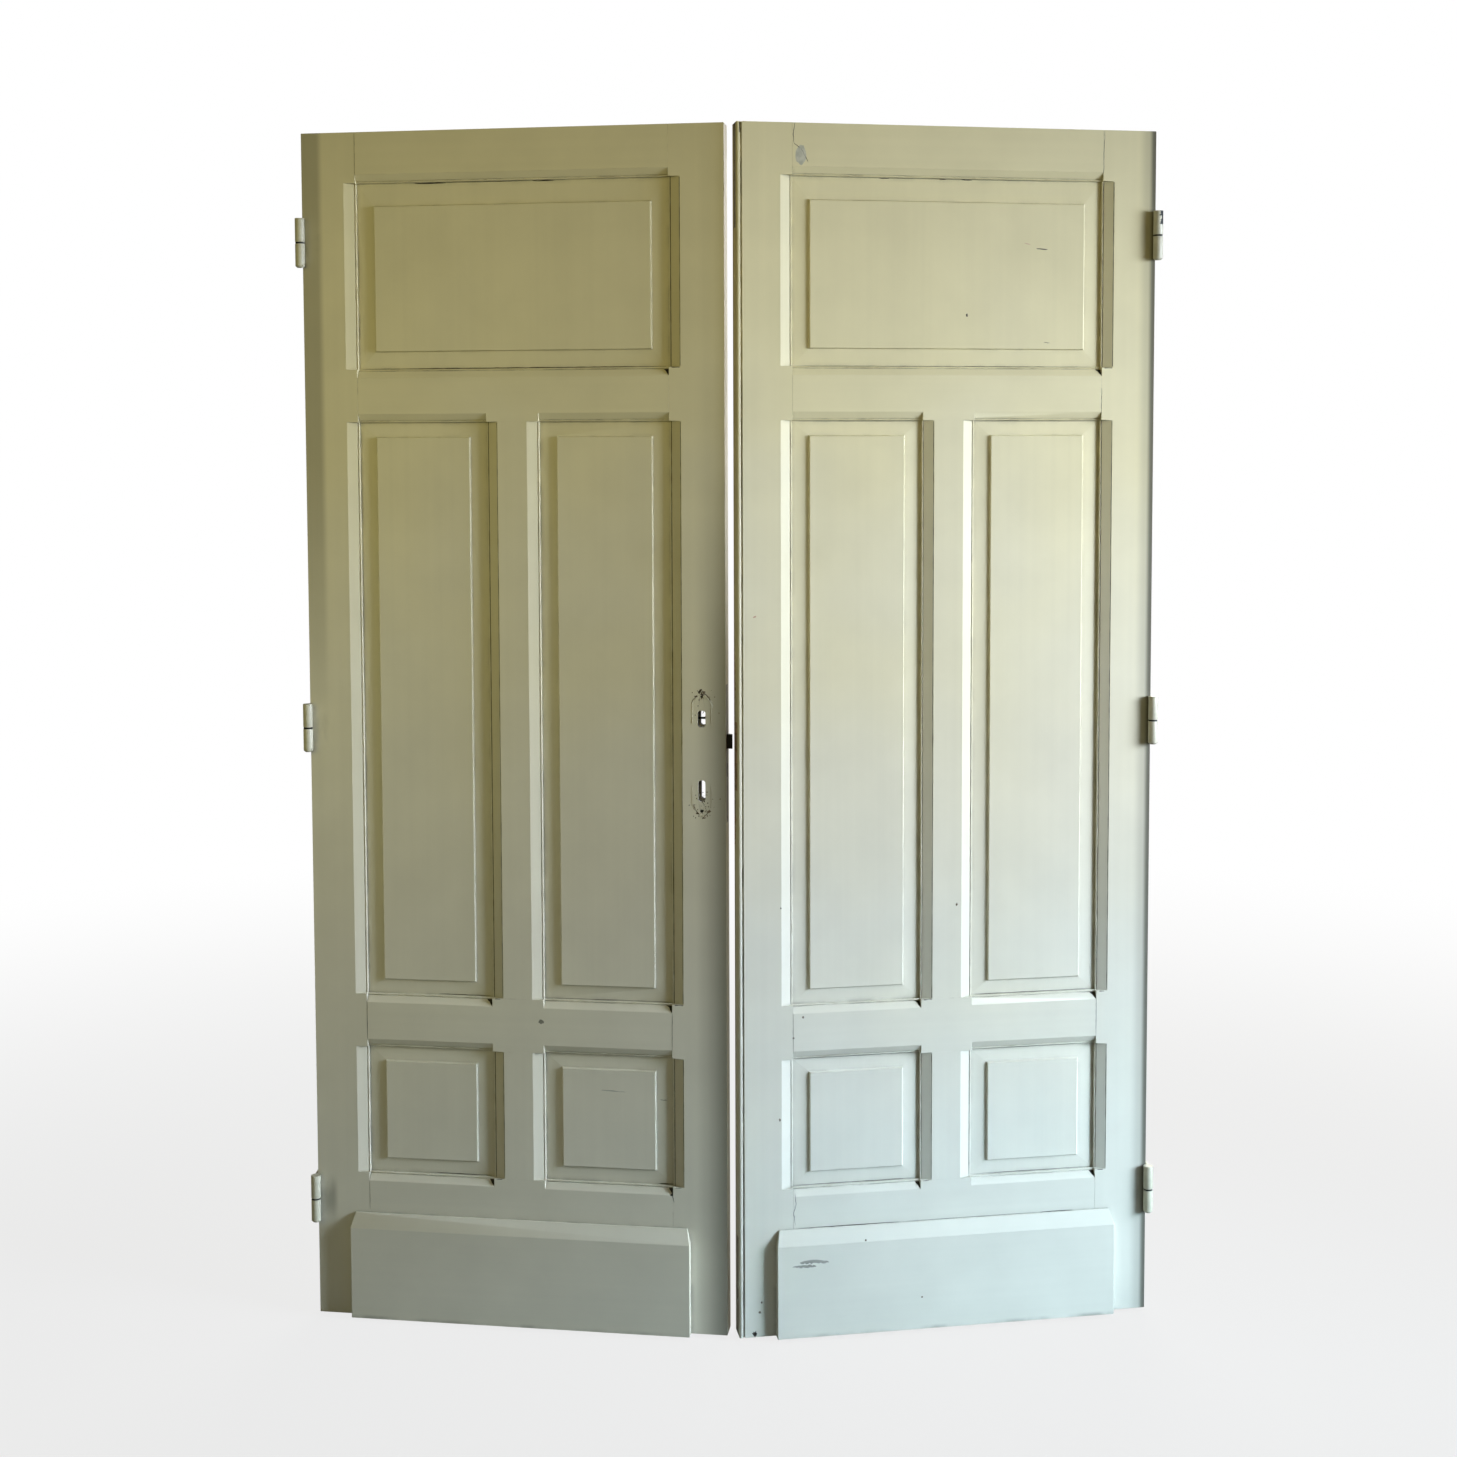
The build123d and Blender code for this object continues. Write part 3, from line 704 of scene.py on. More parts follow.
class Finishes:
    """Every material of the object, made once."""

    def __init__(self, leaves: dict[Side, LeafPlace]) -> None:
        """Make the materials of both leaves, of the ironwork and of the marks.

        Args:
            leaves: both leaves.
        """
        effects = Effects()
        # The left leaf's warmer foot colour is painted light: it stands for the warmer light on that leaf's
        # foot.
        coats = {Side.LEFT: PaintFinish(foot=(0.72, 0.685, 0.575)), Side.RIGHT: PaintFinish()}
        metals = {
            Slot.HINGE: MetalFinish(
                "hinge_paint", (0.62, 0.60, 0.48), (0.05, 0.045, 0.035),
                metallic=0.0, roughness=0.42, wear_amount=0.8,
            ),
            Slot.STEEL: MetalFinish(
                "lock_plate", (0.34, 0.32, 0.28), (0.14, 0.08, 0.045),
                metallic=0.85, roughness=0.48, wear_amount=0.5,
            ),
            Slot.IRON: MetalFinish(
                "black_iron", (0.018, 0.020, 0.019), (0.05, 0.03, 0.02),
                metallic=0.4, roughness=0.55, wear_amount=0.5,
            ),
        }
        strike = MetalFinish(
            "rubbed_strike", (0.50, 0.33, 0.24), (0.20, 0.10, 0.06),
            metallic=0.0, roughness=0.6, wear_amount=0.5,
        )
        looks = {
            # The near-black, dark olive and grey tones also colour painted shade in quirks, on arrises, in
            # corners and in the slots.
            Tone.CRACK: MarkFinish("crack", (0.012, 0.010, 0.008), (0.05, 0.04, 0.03)),
            Tone.CHIP: MarkFinish("chipped_paint", (0.045, 0.035, 0.022), (0.16, 0.12, 0.075)),
            Tone.UNDERCOAT: MarkFinish("undercoat", (0.44, 0.44, 0.36), (0.58, 0.57, 0.48), scale=90.0),
            Tone.WOOD: MarkFinish("rubbed_wood", (0.45, 0.26, 0.18), (0.66, 0.45, 0.34), scale=160.0),
            Tone.SCUFF: MarkFinish(
                "scuff", (0.33, 0.34, 0.35), (0.42, 0.43, 0.44),
                scale=22.0, roughness=0.7, patchy=True,
            ),
            Tone.GREY_DIRT: MarkFinish("grey_dirt", (0.15, 0.145, 0.11), (0.26, 0.25, 0.20), scale=90.0),
        }
        self.paint = {
            (side, grain): coats[side].build(leaf, grain, effects)
            for side, leaf in leaves.items()
            for grain in Grain
        }
        self.rubbed = strike.build(effects)
        self.slots = {slot: metal.build(effects) for slot, metal in metals.items()}
        self.marks = {tone: look.build() for tone, look in looks.items()}


@dataclass
class Joinery:
    """The painted wood of one leaf: each member gets its paint and soft arrises."""

    leaf: LeafPlace
    finishes: Finishes
    arris: float = 0.8 * MM
    arris_angle: float = math.radians(24)
    arris_steps: int = 2
    weld: float = 0.01 * MM

    def dress(self) -> None:
        """Paint every wooden member, along its own grain."""
        for name, node in frame["nodes"].items():
            if body_of(node) != [self.leaf.body] or slot_of(name) is not Slot.WOOD:
                continue
            grain = Grain.LEVEL if name.endswith(("_rail", "_plinth")) else Grain.UPRIGHT
            set_material(node, self.finishes.paint[self.leaf.side, grain])
            soften(node, self.weld, self.arris, self.arris_angle, self.arris_steps)
            LOG.info("%s painted, %s", name, grain.name.lower())


def slot_of(name: str) -> Slot:
    """The material slot of a CAD piece."""
    subparts = frame["record"]["subparts"]
    return Slot(next(s["material_slot"] for s in subparts if s["node"] == name))


def set_material(piece: bpy.types.Object, material: bpy.types.Material) -> None:
    """Give a piece one material all over."""
    piece.data.materials.clear()
    piece.data.materials.append(material)


def soften(piece: bpy.types.Object, weld: float, width: float, angle: float, steps: int) -> None:
    """Round the sharp edges of a CAD piece a little.

    Args:
        piece: the piece.
        weld: how close two points are to count as one.
        width: the width of the rounding.
        angle: how sharp an edge has to be.
        steps: how many facets the rounding has.
    """
    join = piece.modifiers.new("weld", "WELD")
    join.merge_threshold = weld
    bevel = piece.modifiers.new("arris", "BEVEL")
    bevel.width = width
    bevel.segments = steps
    bevel.limit_method = "ANGLE"
    bevel.angle_limit = angle


@dataclass
class Ironwork:
    """Hinges, lock and bolts: each gets its metal and soft edges."""

    finishes: Finishes
    edge: float = 0.35 * MM
    edge_angle: float = math.radians(35)
    edge_steps: int = 2
    weld: float = 0.005 * MM

    def dress(self) -> None:
        """Give every metal piece its finish."""
        for name, node in frame["nodes"].items():
            slot = slot_of(name)
            if slot is Slot.WOOD:
                continue
            rubbed = name == "strike_plate"
            set_material(node, self.finishes.rubbed if rubbed else self.finishes.slots[slot])
            soften(node, self.weld, self.edge, self.edge_angle, self.edge_steps)
            LOG.info("%s finished as %s", name, slot.value)


def new_piece(
    name: str,
    build: Callable[[bmesh.types.BMesh], None],
    material: bpy.types.Material,
    body: str,
) -> None:
    """Make a mesh piece that rides on a body.

    Args:
        name: the piece's name.
        build: fills the mesh, in the scene's coordinates.
        material: its material.
        body: the body that it moves with.
    """
    shape = bmesh.new()
    build(shape)
    bmesh.ops.recalc_face_normals(shape, faces=shape.faces)
    mesh = bpy.data.meshes.new(name)
    shape.to_mesh(mesh)
    shape.free()
    piece = bpy.data.objects.new(name, mesh)
    bpy.context.scene.collection.objects.link(piece)
    mesh.materials.append(material)
    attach(piece, body)
    LOG.info("%s added, %d faces, on %s", name, len(mesh.polygons), body)


@dataclass(frozen=True)
class Patch:
    """A flat place on a leaf to draw on: its matrix takes (right, up, out) to the scene's coordinates."""

    matrix: Matrix

    @classmethod
    def on_front(cls, leaf: LeafPlace, surface: Surface, x: float, z: float) -> "Patch":
        """A place on a surface that faces the front."""
        axes = Matrix(((1, 0, 0, x), (0, 0, -1, leaf.depth(surface)), (0, 1, 0, z), (0, 0, 0, 1)))
        return cls(leaf.matrix @ axes)

    @classmethod
    def on_edge(cls, leaf: LeafPlace, x: float, y: float, z: float, outward: float) -> "Patch":
        """A place on an upright edge of the leaf, which faces along x."""
        axes = Matrix(((0, 0, outward, x), (1, 0, 0, y), (0, 1, 0, z), (0, 0, 0, 1)))
        return cls(leaf.matrix @ axes)

    def point(self, right: float, up: float, out: float) -> Vector:
        """A point of the patch, in the scene's coordinates."""
        return self.matrix @ Vector((right, up, out))


def draw_ribbon(
    shape: bmesh.types.BMesh,
    patch: Patch,
    line: Sequence[Point],
    widths: Sequence[float],
    proud: float,
) -> None:
    """Low ridge along a line on a patch, with its width given at each point.

    Args:
        shape: the mesh to add to.
        patch: the place that the line is drawn on.
        line: the points of the line.
        widths: the ridge's full width at each point.
        proud: how high its crest stands.
    """
    rows = []
    for i, (here, width) in enumerate(zip(line, widths)):
        before = Vector(line[max(i - 1, 0)])
        after = Vector(line[min(i + 1, len(line) - 1)])
        along = (after - before).normalized()
        side = Vector((-along.y, along.x)) * width / 2
        spot = Vector(here)
        corners = [patch.point(*(spot + side * share), proud * rise) for share, rise in RIDGE]
        rows.append([shape.verts.new(corner) for corner in corners])
    for first, second in zip(rows, rows[1:]):
        for i in range(len(first) - 1):
            shape.faces.new((first[i], first[i + 1], second[i + 1], second[i]))


def draw_blot(
    shape: bmesh.types.BMesh,
    patch: Patch,
    reach: Point,
    rough: float,
    seed: int,
    proud: float,
    corners: int = 18,
) -> None:
    """Flat blot with a ragged outline round the middle of a patch.

    Args:
        shape: the mesh to add to.
        patch: the place, with the blot's middle at its origin.
        reach: half of the blot's width and height.
        rough: how ragged the outline is, as a share of its reach.
        seed: picks the outline.
        proud: how high it stands.
        corners: how many points its outline has.
    """
    draw = random.Random(seed)
    outer = []
    inner = []
    for i in range(corners):
        angle = math.tau * i / corners
        stretch = 1.0 + draw.uniform(-rough, rough)
        spot = Vector((math.cos(angle) * reach[0], math.sin(angle) * reach[1])) * stretch
        outer.append(shape.verts.new(patch.point(*spot, proud * RIM_RISE)))
        inner.append(shape.verts.new(patch.point(*(spot * BLOT_CREST), proud)))
    for i in range(corners):
        j = (i + 1) % corners
        shape.faces.new((outer[i], outer[j], inner[j], inner[i]))
    shape.faces.new(inner)


def wander(start: Point, end: Point, steps: int, sway: float, seed: int) -> list[Point]:
    """Crooked line between two points.

    Args:
        start: its first point.
        end: its last point.
        steps: how many stretches it has.
        sway: how far a point strays from the straight line.
        seed: picks the crooks.

    Returns:
        The points of the line.
    """
    draw = random.Random(seed)
    first = Vector(start)
    run = Vector(end) - first
    side = Vector((-run.y, run.x)).normalized()
    spots = [first + run * (i / steps) for i in range(steps + 1)]
    return [tuple(spot + side * draw.uniform(-sway, sway)) for spot in spots]


def draw_screw(
    shape: bmesh.types.BMesh,
    patch: Patch,
    radius: float,
    slit: float,
    proud: float,
    turn: float,
    steps: int = 10,
) -> None:
    """Slotted screw head in the middle of a patch: a floor and two raised halves.

    Args:
        shape: the mesh to add to.
        patch: the place, with the screw's axis at its origin.
        radius: the head's radius.
        slit: the width of its slot.
        proud: how high the halves stand above the floor of the slot.
        turn: the slot's direction.
        steps: how many facets half of the head has.
    """
    swing = Matrix.Rotation(turn, 2)

    def spot(flat: Vector, out: float) -> bmesh.types.BMVert:
        """A corner of the head."""
        return shape.verts.new(patch.point(*(swing @ flat), out))

    angles = [math.tau * i / (2 * steps) for i in range(2 * steps)]
    circle = [Vector((math.cos(angle), math.sin(angle))) * radius for angle in angles]
    shape.faces.new([spot(flat, SCREW_FLOOR * proud) for flat in circle])
    start = math.asin(slit / 2 / radius)
    for half in (1.0, -1.0):
        sweep = [start + (math.pi - 2 * start) * i / steps for i in range(steps + 1)]
        rim = [Vector((math.cos(angle), half * math.sin(angle))) * radius for angle in sweep]
        low = [spot(flat, 0.0) for flat in rim]
        top = [spot(flat * SCREW_CREST, proud) for flat in rim]
        for i in range(len(rim)):
            j = (i + 1) % len(rim)
            shape.faces.new((low[i], low[j], top[j], top[i]))
        shape.faces.new(top)


@dataclass
class EdgeScrews:
    """Slotted screws in the plates along one edge of a leaf."""

    name: str
    leaf: LeafPlace
    places: Sequence[Point]
    x: float
    outward: float
    slot: Slot
    radius: float = 4.2 * MM
    slit: float = 1.1 * MM
    proud: float = 0.35 * MM
    first_turn: float = 0.4
    turn_step: float = 0.9

    def build(self, finishes: Finishes) -> None:
        """Set the screws."""
        name = f"{self.leaf.side.value}_{self.name}"
        new_piece(name, self.draw, finishes.slots[self.slot], self.leaf.body)

    def draw(self, shape: bmesh.types.BMesh) -> None:
        """Draw every head, each with its slot another way.

        Args:
            shape: the mesh to fill.
        """
        for count, (y, z) in enumerate(self.places):
            patch = Patch.on_edge(self.leaf, self.x, y, z, self.outward)
            turn = self.turn_step * count + self.first_turn
            draw_screw(shape, patch, self.radius, self.slit, self.proud, turn)


@dataclass
class Fastenings:
    """The screws of the hinges, the lock, the strike and the bolt plates."""

    leaves: dict[Side, LeafPlace]
    finishes: Finishes
    flap_depth: float = 30 * MM
    flap_spacing: float = 56 * MM
    plate_radius: float = 3.6 * MM
    forend_inset: float = 9 * MM
    strike_inset: float = 8 * MM
    bolt_inset: float = 10 * MM

    def build(self) -> None:
        """Screw every plate to its leaf."""
        for leaf in self.leaves.values():
            self.screw_hinges(leaf)
        self.screw_plate("lock_forend", self.leaves[Side.LEFT], self.forend_inset)
        self.screw_plate("strike_plate", self.leaves[Side.RIGHT], self.strike_inset)
        self.screw_plate("top_bolt_plate", self.leaves[Side.RIGHT], self.bolt_inset)
        self.screw_plate("bottom_bolt_plate", self.leaves[Side.RIGHT], self.bolt_inset)

    def screw_hinges(self, leaf: LeafPlace) -> None:
        """Set two screws in the flap of each hinge.

        Args:
            leaf: the leaf that the hinges are on.
        """
        back = leaf.box("{side}_leaf_hinges")[1].y - self.flap_depth / 2
        half = self.flap_spacing / 2
        spots = [(back, height + step) for height in leaf.hinge_heights() for step in (-half, half)]
        EdgeScrews("hinge_screws", leaf, spots, HINGE_EDGE, -1.0, Slot.HINGE).build(self.finishes)

    def screw_plate(self, plate: str, leaf: LeafPlace, inset: float) -> None:
        """Set a screw near each end of a plate.

        Args:
            plate: the plate's name.
            leaf: the leaf that it is on.
            inset: how far the screws stand from its ends.
        """
        low, high = leaf.box(plate)
        middle = (low.y + high.y) / 2
        spots = [(middle, low.z + inset), (middle, high.z - inset)]
        screws = EdgeScrews(f"{plate}_screws", leaf, spots, high.x, 1.0, slot_of(plate), self.plate_radius)
        screws.build(self.finishes)


@dataclass(frozen=True)
class Line:
    """A crack, a scratch or a scuff: a crooked line, from the hinge edge and the foot, in mm."""

    name: str
    tone: Tone
    surface: Surface
    points: Sequence[Point]
    width: float
    sway: float = 0.3
    steps: int = 8
    taper: float = 0.15


@dataclass(frozen=True)
class Blot:
    """A chip, a flake or a spot: its middle, and half of its width and height, in mm."""

    name: str
    tone: Tone
    surface: Surface
    middle: Point
    reach: Point
    rough: float = 0.35


LEFT_LINES = (
    Line("panel_gap_near_hinge", Tone.CRACK, Surface.SUNK, ((204, 2058.9), (262, 2059.2)), 2.6),
    Line("panel_gap_between", Tone.CRACK, Surface.SUNK, ((260, 2059.6), (420, 2059.6)), 0.9),
    Line("panel_gap_far", Tone.CRACK, Surface.SUNK, ((417, 2059.1), (458, 2059.2)), 2.3),
    Line("square_scratch", Tone.SCUFF, Surface.FIELD, ((530, 437), (576, 435)), 2.2),
    Line("square_scratch_short", Tone.CHIP, Surface.FIELD, ((638, 424), (651, 423)), 1.2),
    Line("corner_split", Tone.CRACK, Surface.FACE, ((660.5, 253.5), (662, 247), (664, 239)), 1.2, 0.4),
    Line("square_margin_scratch", Tone.CHIP, Surface.SUNK, ((627, 430.4), (645, 431.6)), 0.9, 0.3, 8),
    Line("sill_gap", Tone.CRACK, Surface.SUNK, ((634, 268.3), (660, 268.2)), 2.0),
    Line("plate_edge_left", Tone.CHIP, Surface.FACE, ((699.5, 1140), (702, 1147), (709, 1154)), 1.3, 0.3),
    Line(
        "plate_edge_right", Tone.CHIP, Surface.FACE,
        ((720, 1160), (726, 1155.5), (731, 1150), (735, 1141)), 2.4, 0.3,
    ),
    Line("plate_edge_low_left", Tone.CHIP, Surface.FACE, ((701, 962), (706, 951), (712, 943)), 1.6, 0.5),
    Line("plate_edge_low_right", Tone.CHIP, Surface.FACE, ((732, 953), (727, 945), (720, 937)), 1.8, 0.5),
    Line("middle_rail_joint", Tone.CRACK, Surface.FACE, ((98.2, 587), (98.0, 514)), 1.1, 0.2, 12),
    Line("middle_rail_joint_far", Tone.CRACK, Surface.FACE, ((662.2, 587), (662.0, 514)), 0.9, 0.2, 12),
    Line("top_rail_joint", Tone.CHIP, Surface.FACE, ((98.3, 2147), (98.0, 2075)), 0.8, 0.2, 12),
    Line("bottom_rail_joint", Tone.CHIP, Surface.FACE, ((98.0, 252), (98.2, 200)), 0.7, 0.2, 12),
    Line("top_panel_foot_gap", Tone.CHIP, Surface.SUNK, ((104, 1732.4), (655, 1732.4)), 2.0, 0.2, 60),
    Line("tall_panel_foot_gap", Tone.CRACK, Surface.SUNK, ((230, 600.8), (326, 600.8)), 1.4, 0.2, 12),
    Line("tall_panel_far_gap", Tone.CHIP, Surface.SUNK, ((434, 600.8), (655, 600.8)), 0.9, 0.2, 24),
    Line("square_panel_foot_gap", Tone.CRACK, Surface.SUNK, ((222, 268.3), (326, 268.3)), 1.4, 0.2, 12),
)
LEFT_BLOTS = (
    Blot("middle_rail_dent", Tone.GREY_DIRT, Surface.FACE, (422.6, 560), (4.2, 4.0)),
    Blot("corner_chip", Tone.CRACK, Surface.FACE, (659.5, 252.5), (2.6, 1.9)),
    Blot("plate_tip_chip", Tone.CHIP, Surface.FACE, (717.0, 1160), (5.5, 5.0), 0.4),
    Blot("plate_tip_left_chip", Tone.CHIP, Surface.FACE, (707.5, 1153), (3.2, 1.5), 0.5),
    Blot("plate_shoulder_chip", Tone.UNDERCOAT, Surface.FACE, (735.0, 1140), (2.8, 7.5), 0.3),
    Blot("plate_foot_chip", Tone.CHIP, Surface.FACE, (729.5, 948), (3.6, 2.2), 0.5),
    Blot("plate_foot_left_chip", Tone.CHIP, Surface.FACE, (709.5, 945), (2.8, 1.6), 0.5),
    Blot("plate_foot_tip_chip", Tone.CHIP, Surface.FACE, (719.5, 937), (3.4, 1.8), 0.5),
    Blot("plate_foot_hole_rim", Tone.CRACK, Surface.FACE, (717.5, 949), (3.4, 3.2), 0.3),
)
RIGHT_LINES = (
    Line("top_rail_split", Tone.CRACK, Surface.FACE, ((657, 2149.5), (660, 2132), (659, 2114)), 1.3, 0.5),
    Line(
        "flake_edge", Tone.CRACK, Surface.FACE,
        ((659, 2115), (646, 2105), (638, 2091), (634, 2083)), 1.7, 0.4,
    ),
    Line("joint_split", Tone.CRACK, Surface.FACE, ((96.0, 2148), (97.5, 2110), (97.5, 2073)), 1.2, 0.3),
    Line("panel_gap_meeting", Tone.CRACK, Surface.SUNK, ((486, 2059.3), (505, 2059.3)), 2.0),
    Line("panel_gap_middle", Tone.CRACK, Surface.SUNK, ((336, 2059.3), (356, 2059.2)), 2.2),
    Line("panel_gap_short", Tone.CRACK, Surface.SUNK, ((383, 2059.3), (396, 2059.3)), 1.6),
    Line("panel_gap_thin", Tone.CRACK, Surface.SUNK, ((104, 2059.7), (650, 2059.7)), 0.6, 0.2, 60),
    Line("middle_rail_joint", Tone.CRACK, Surface.FACE, ((98.0, 587), (98.2, 514)), 1.2, 0.2, 12),
    Line("middle_rail_joint_far", Tone.CHIP, Surface.FACE, ((662.2, 587), (662.0, 514)), 0.7, 0.2, 12),
    Line("frieze_joint", Tone.CRACK, Surface.FACE, ((97.6, 1694), (98.2, 1649)), 1.2, 0.2, 8),
    Line("top_panel_foot_gap", Tone.CRACK, Surface.SUNK, ((104, 1732.2), (655, 1732.2)), 0.9, 0.2, 60),
    Line("tall_panel_top_gap", Tone.CRACK, Surface.SUNK, ((105, 1635.8), (326, 1635.8)), 1.0, 0.2, 24),
    Line("tall_panel_top_gap_far", Tone.CRACK, Surface.SUNK, ((434, 1635.8), (655, 1635.8)), 1.0, 0.2, 24),
    Line("tall_panel_foot_gap", Tone.CRACK, Surface.SUNK, ((105, 600.8), (326, 600.8)), 1.3, 0.2, 24),
    Line("square_top_gap", Tone.CRACK, Surface.SUNK, ((105, 500.2), (326, 500.2)), 1.8, 0.2, 24),
    Line("square_top_gap_far", Tone.CRACK, Surface.SUNK, ((434, 500.2), (655, 500.2)), 1.8, 0.3, 24),
    Line("square_foot_gap", Tone.CRACK, Surface.SUNK, ((105, 268.3), (326, 268.3)), 1.1, 0.2, 24),
    Line("square_foot_gap_far", Tone.CRACK, Surface.SUNK, ((434, 268.3), (655, 268.3)), 1.1, 0.2, 24),
    Line("panel_scratch", Tone.CRACK, Surface.FIELD, ((219, 1940.5), (198, 1939)), 2.4),
    Line("panel_scratch_low", Tone.CHIP, Surface.FIELD, ((204, 1775.5), (193, 1774)), 1.1),
    Line("panel_scratch_faint", Tone.WOOD, Surface.FIELD, ((241, 1950), (230, 1947.5)), 1.3),
    Line(
        "bottom_rail_split", Tone.CRACK, Surface.FACE,
        ((659, 258), (657, 240), (661, 224), (659, 200)), 1.2, 0.8,
    ),
    Line("plinth_joint", Tone.CRACK, Surface.FACE, ((655, 193.7), (465, 193.7)), 1.7, 0.3, 24),
    Line("plinth_joint_thin", Tone.CRACK, Surface.FACE, ((465, 193.7), (205, 193.7)), 0.8, 0.2, 24),
    Line("plinth_joint_end", Tone.CRACK, Surface.FACE, ((205, 193.7), (140, 193.7)), 1.9, 0.3, 10),
    Line("plinth_scuff_upper", Tone.SCUFF, Surface.PLINTH, ((654, 138), (630, 139), (601, 136)), 8.0, 0.8),
    Line("plinth_scuff_lower", Tone.SCUFF, Surface.PLINTH, ((667, 131), (645, 131), (624, 130)), 6.0, 0.8),
    Line("quirk_hole", Tone.CRACK, Surface.FACE, ((754, 2131), (754, 2149)), 2.4, 0.2, 6, 0.8),
)
RIGHT_BLOTS = (
    Blot("top_rail_flake", Tone.UNDERCOAT, Surface.FACE, (646.5, 2095), (9.0, 17), 0.12),
    Blot("panel_dot", Tone.CRACK, Surface.FIELD, (346, 1822), (1.7, 2.9)),
    Blot("tall_panel_spot", Tone.CHIP, Surface.FACE, (362, 770), (1.6, 2.6)),
    Blot("meeting_stile_spot", Tone.CHIP, Surface.FACE, (684, 776), (1.2, 1.6)),
    Blot("meeting_stile_rub", Tone.WOOD, Surface.FACE, (730, 1294), (2.6, 1.6), 0.5),
    Blot("meeting_stile_nick", Tone.CHIP, Surface.FACE, (686.4, 393.7), (1.5, 2.6)),
    Blot("middle_rail_spot", Tone.CHIP, Surface.FACE, (644, 578), (1.7, 2.2)),
    Blot("middle_rail_nick", Tone.CHIP, Surface.FACE, (661, 541), (2.0, 1.5)),
    Blot("foot_chip", Tone.CRACK, Surface.FACE, (733, 5.5), (4.2, 5.2), 0.4),
    Blot("foot_spot_upper", Tone.CHIP, Surface.FACE, (720, 63), (1.8, 2.2), 0.5),
    Blot("foot_spot_lower", Tone.CHIP, Surface.FACE, (723.5, 45), (2.4, 2.0), 0.5),
    Blot("plinth_dot_upper", Tone.CHIP, Surface.PLINTH, (533, 171), (1.5, 1.8)),
    Blot("plinth_dot_lower", Tone.CHIP, Surface.PLINTH, (429, 59), (1.6, 1.8)),
)


@dataclass
class Wear:
    """The cracks, chips and scuffs on the front of one leaf."""

    leaf: LeafPlace
    finishes: Finishes
    lines: Sequence[Line]
    blots: Sequence[Blot]
    proud: float = 0.12 * MM
    scuff_proud: float = 0.04 * MM
    swell: float = 0.4
    width_range: Point = (0.6, 1.0)

    def build(self) -> None:
        """Draw every mark."""
        for seed, line in enumerate(self.lines):
            self.add_line(line, seed)
        for seed, blot in enumerate(self.blots):
            self.add_blot(blot, seed)

    def add_line(self, mark: Line, seed: int) -> None:
        """Draw one crooked line.

        Args:
            mark: the line.
            seed: picks its crooks.
        """
        patch = Patch.on_front(self.leaf, mark.surface, HINGE_EDGE, 0.0)
        path: list[Point] = []
        for leg, (start, end) in enumerate(zip(mark.points, mark.points[1:])):
            path += wander(start, end, mark.steps, mark.sway, seed + leg)[1 if leg else 0 :]
        draw = random.Random(seed)
        count = len(path) - 1
        widths = []
        for i in range(count + 1):
            swell = math.sin(math.pi * i / count) ** self.swell
            widths.append(mark.width * MM * draw.uniform(*self.width_range) * max(swell, mark.taper))
        proud = self.scuff_proud if mark.tone is Tone.SCUFF else self.proud
        line = [(x * MM, z * MM) for x, z in path]
        self.add(mark, lambda shape: draw_ribbon(shape, patch, line, widths, proud))

    def add_blot(self, mark: Blot, seed: int) -> None:
        """Draw one blot.

        Args:
            mark: the blot.
            seed: picks its outline.
        """
        x, z = (length * MM for length in mark.middle)
        reach = (mark.reach[0] * MM, mark.reach[1] * MM)
        patch = Patch.on_front(self.leaf, mark.surface, HINGE_EDGE + x, z)
        self.add(mark, lambda shape: draw_blot(shape, patch, reach, mark.rough, seed, self.proud))

    def add(self, mark: Line | Blot, draw: Callable[[bmesh.types.BMesh], None]) -> None:
        """Make a mark's piece."""
        name = f"{self.leaf.side.value}_{mark.name}"
        new_piece(name, draw, self.finishes.marks[mark.tone], self.leaf.body)


@dataclass(frozen=True)
class Opening:
    """An opening between the members of a leaf, from the hinge edge and the foot, in mm."""

    low_x: float
    high_x: float
    low_z: float
    high_z: float


OPENINGS = (
    Opening(98, 662, 1731, 2060.5),
    Opening(98, 332.5, 599.5, 1637),
    Opening(427.5, 662, 599.5, 1637),
    Opening(98, 332.5, 267, 501.5),
    Opening(427.5, 662, 267, 501.5),
)


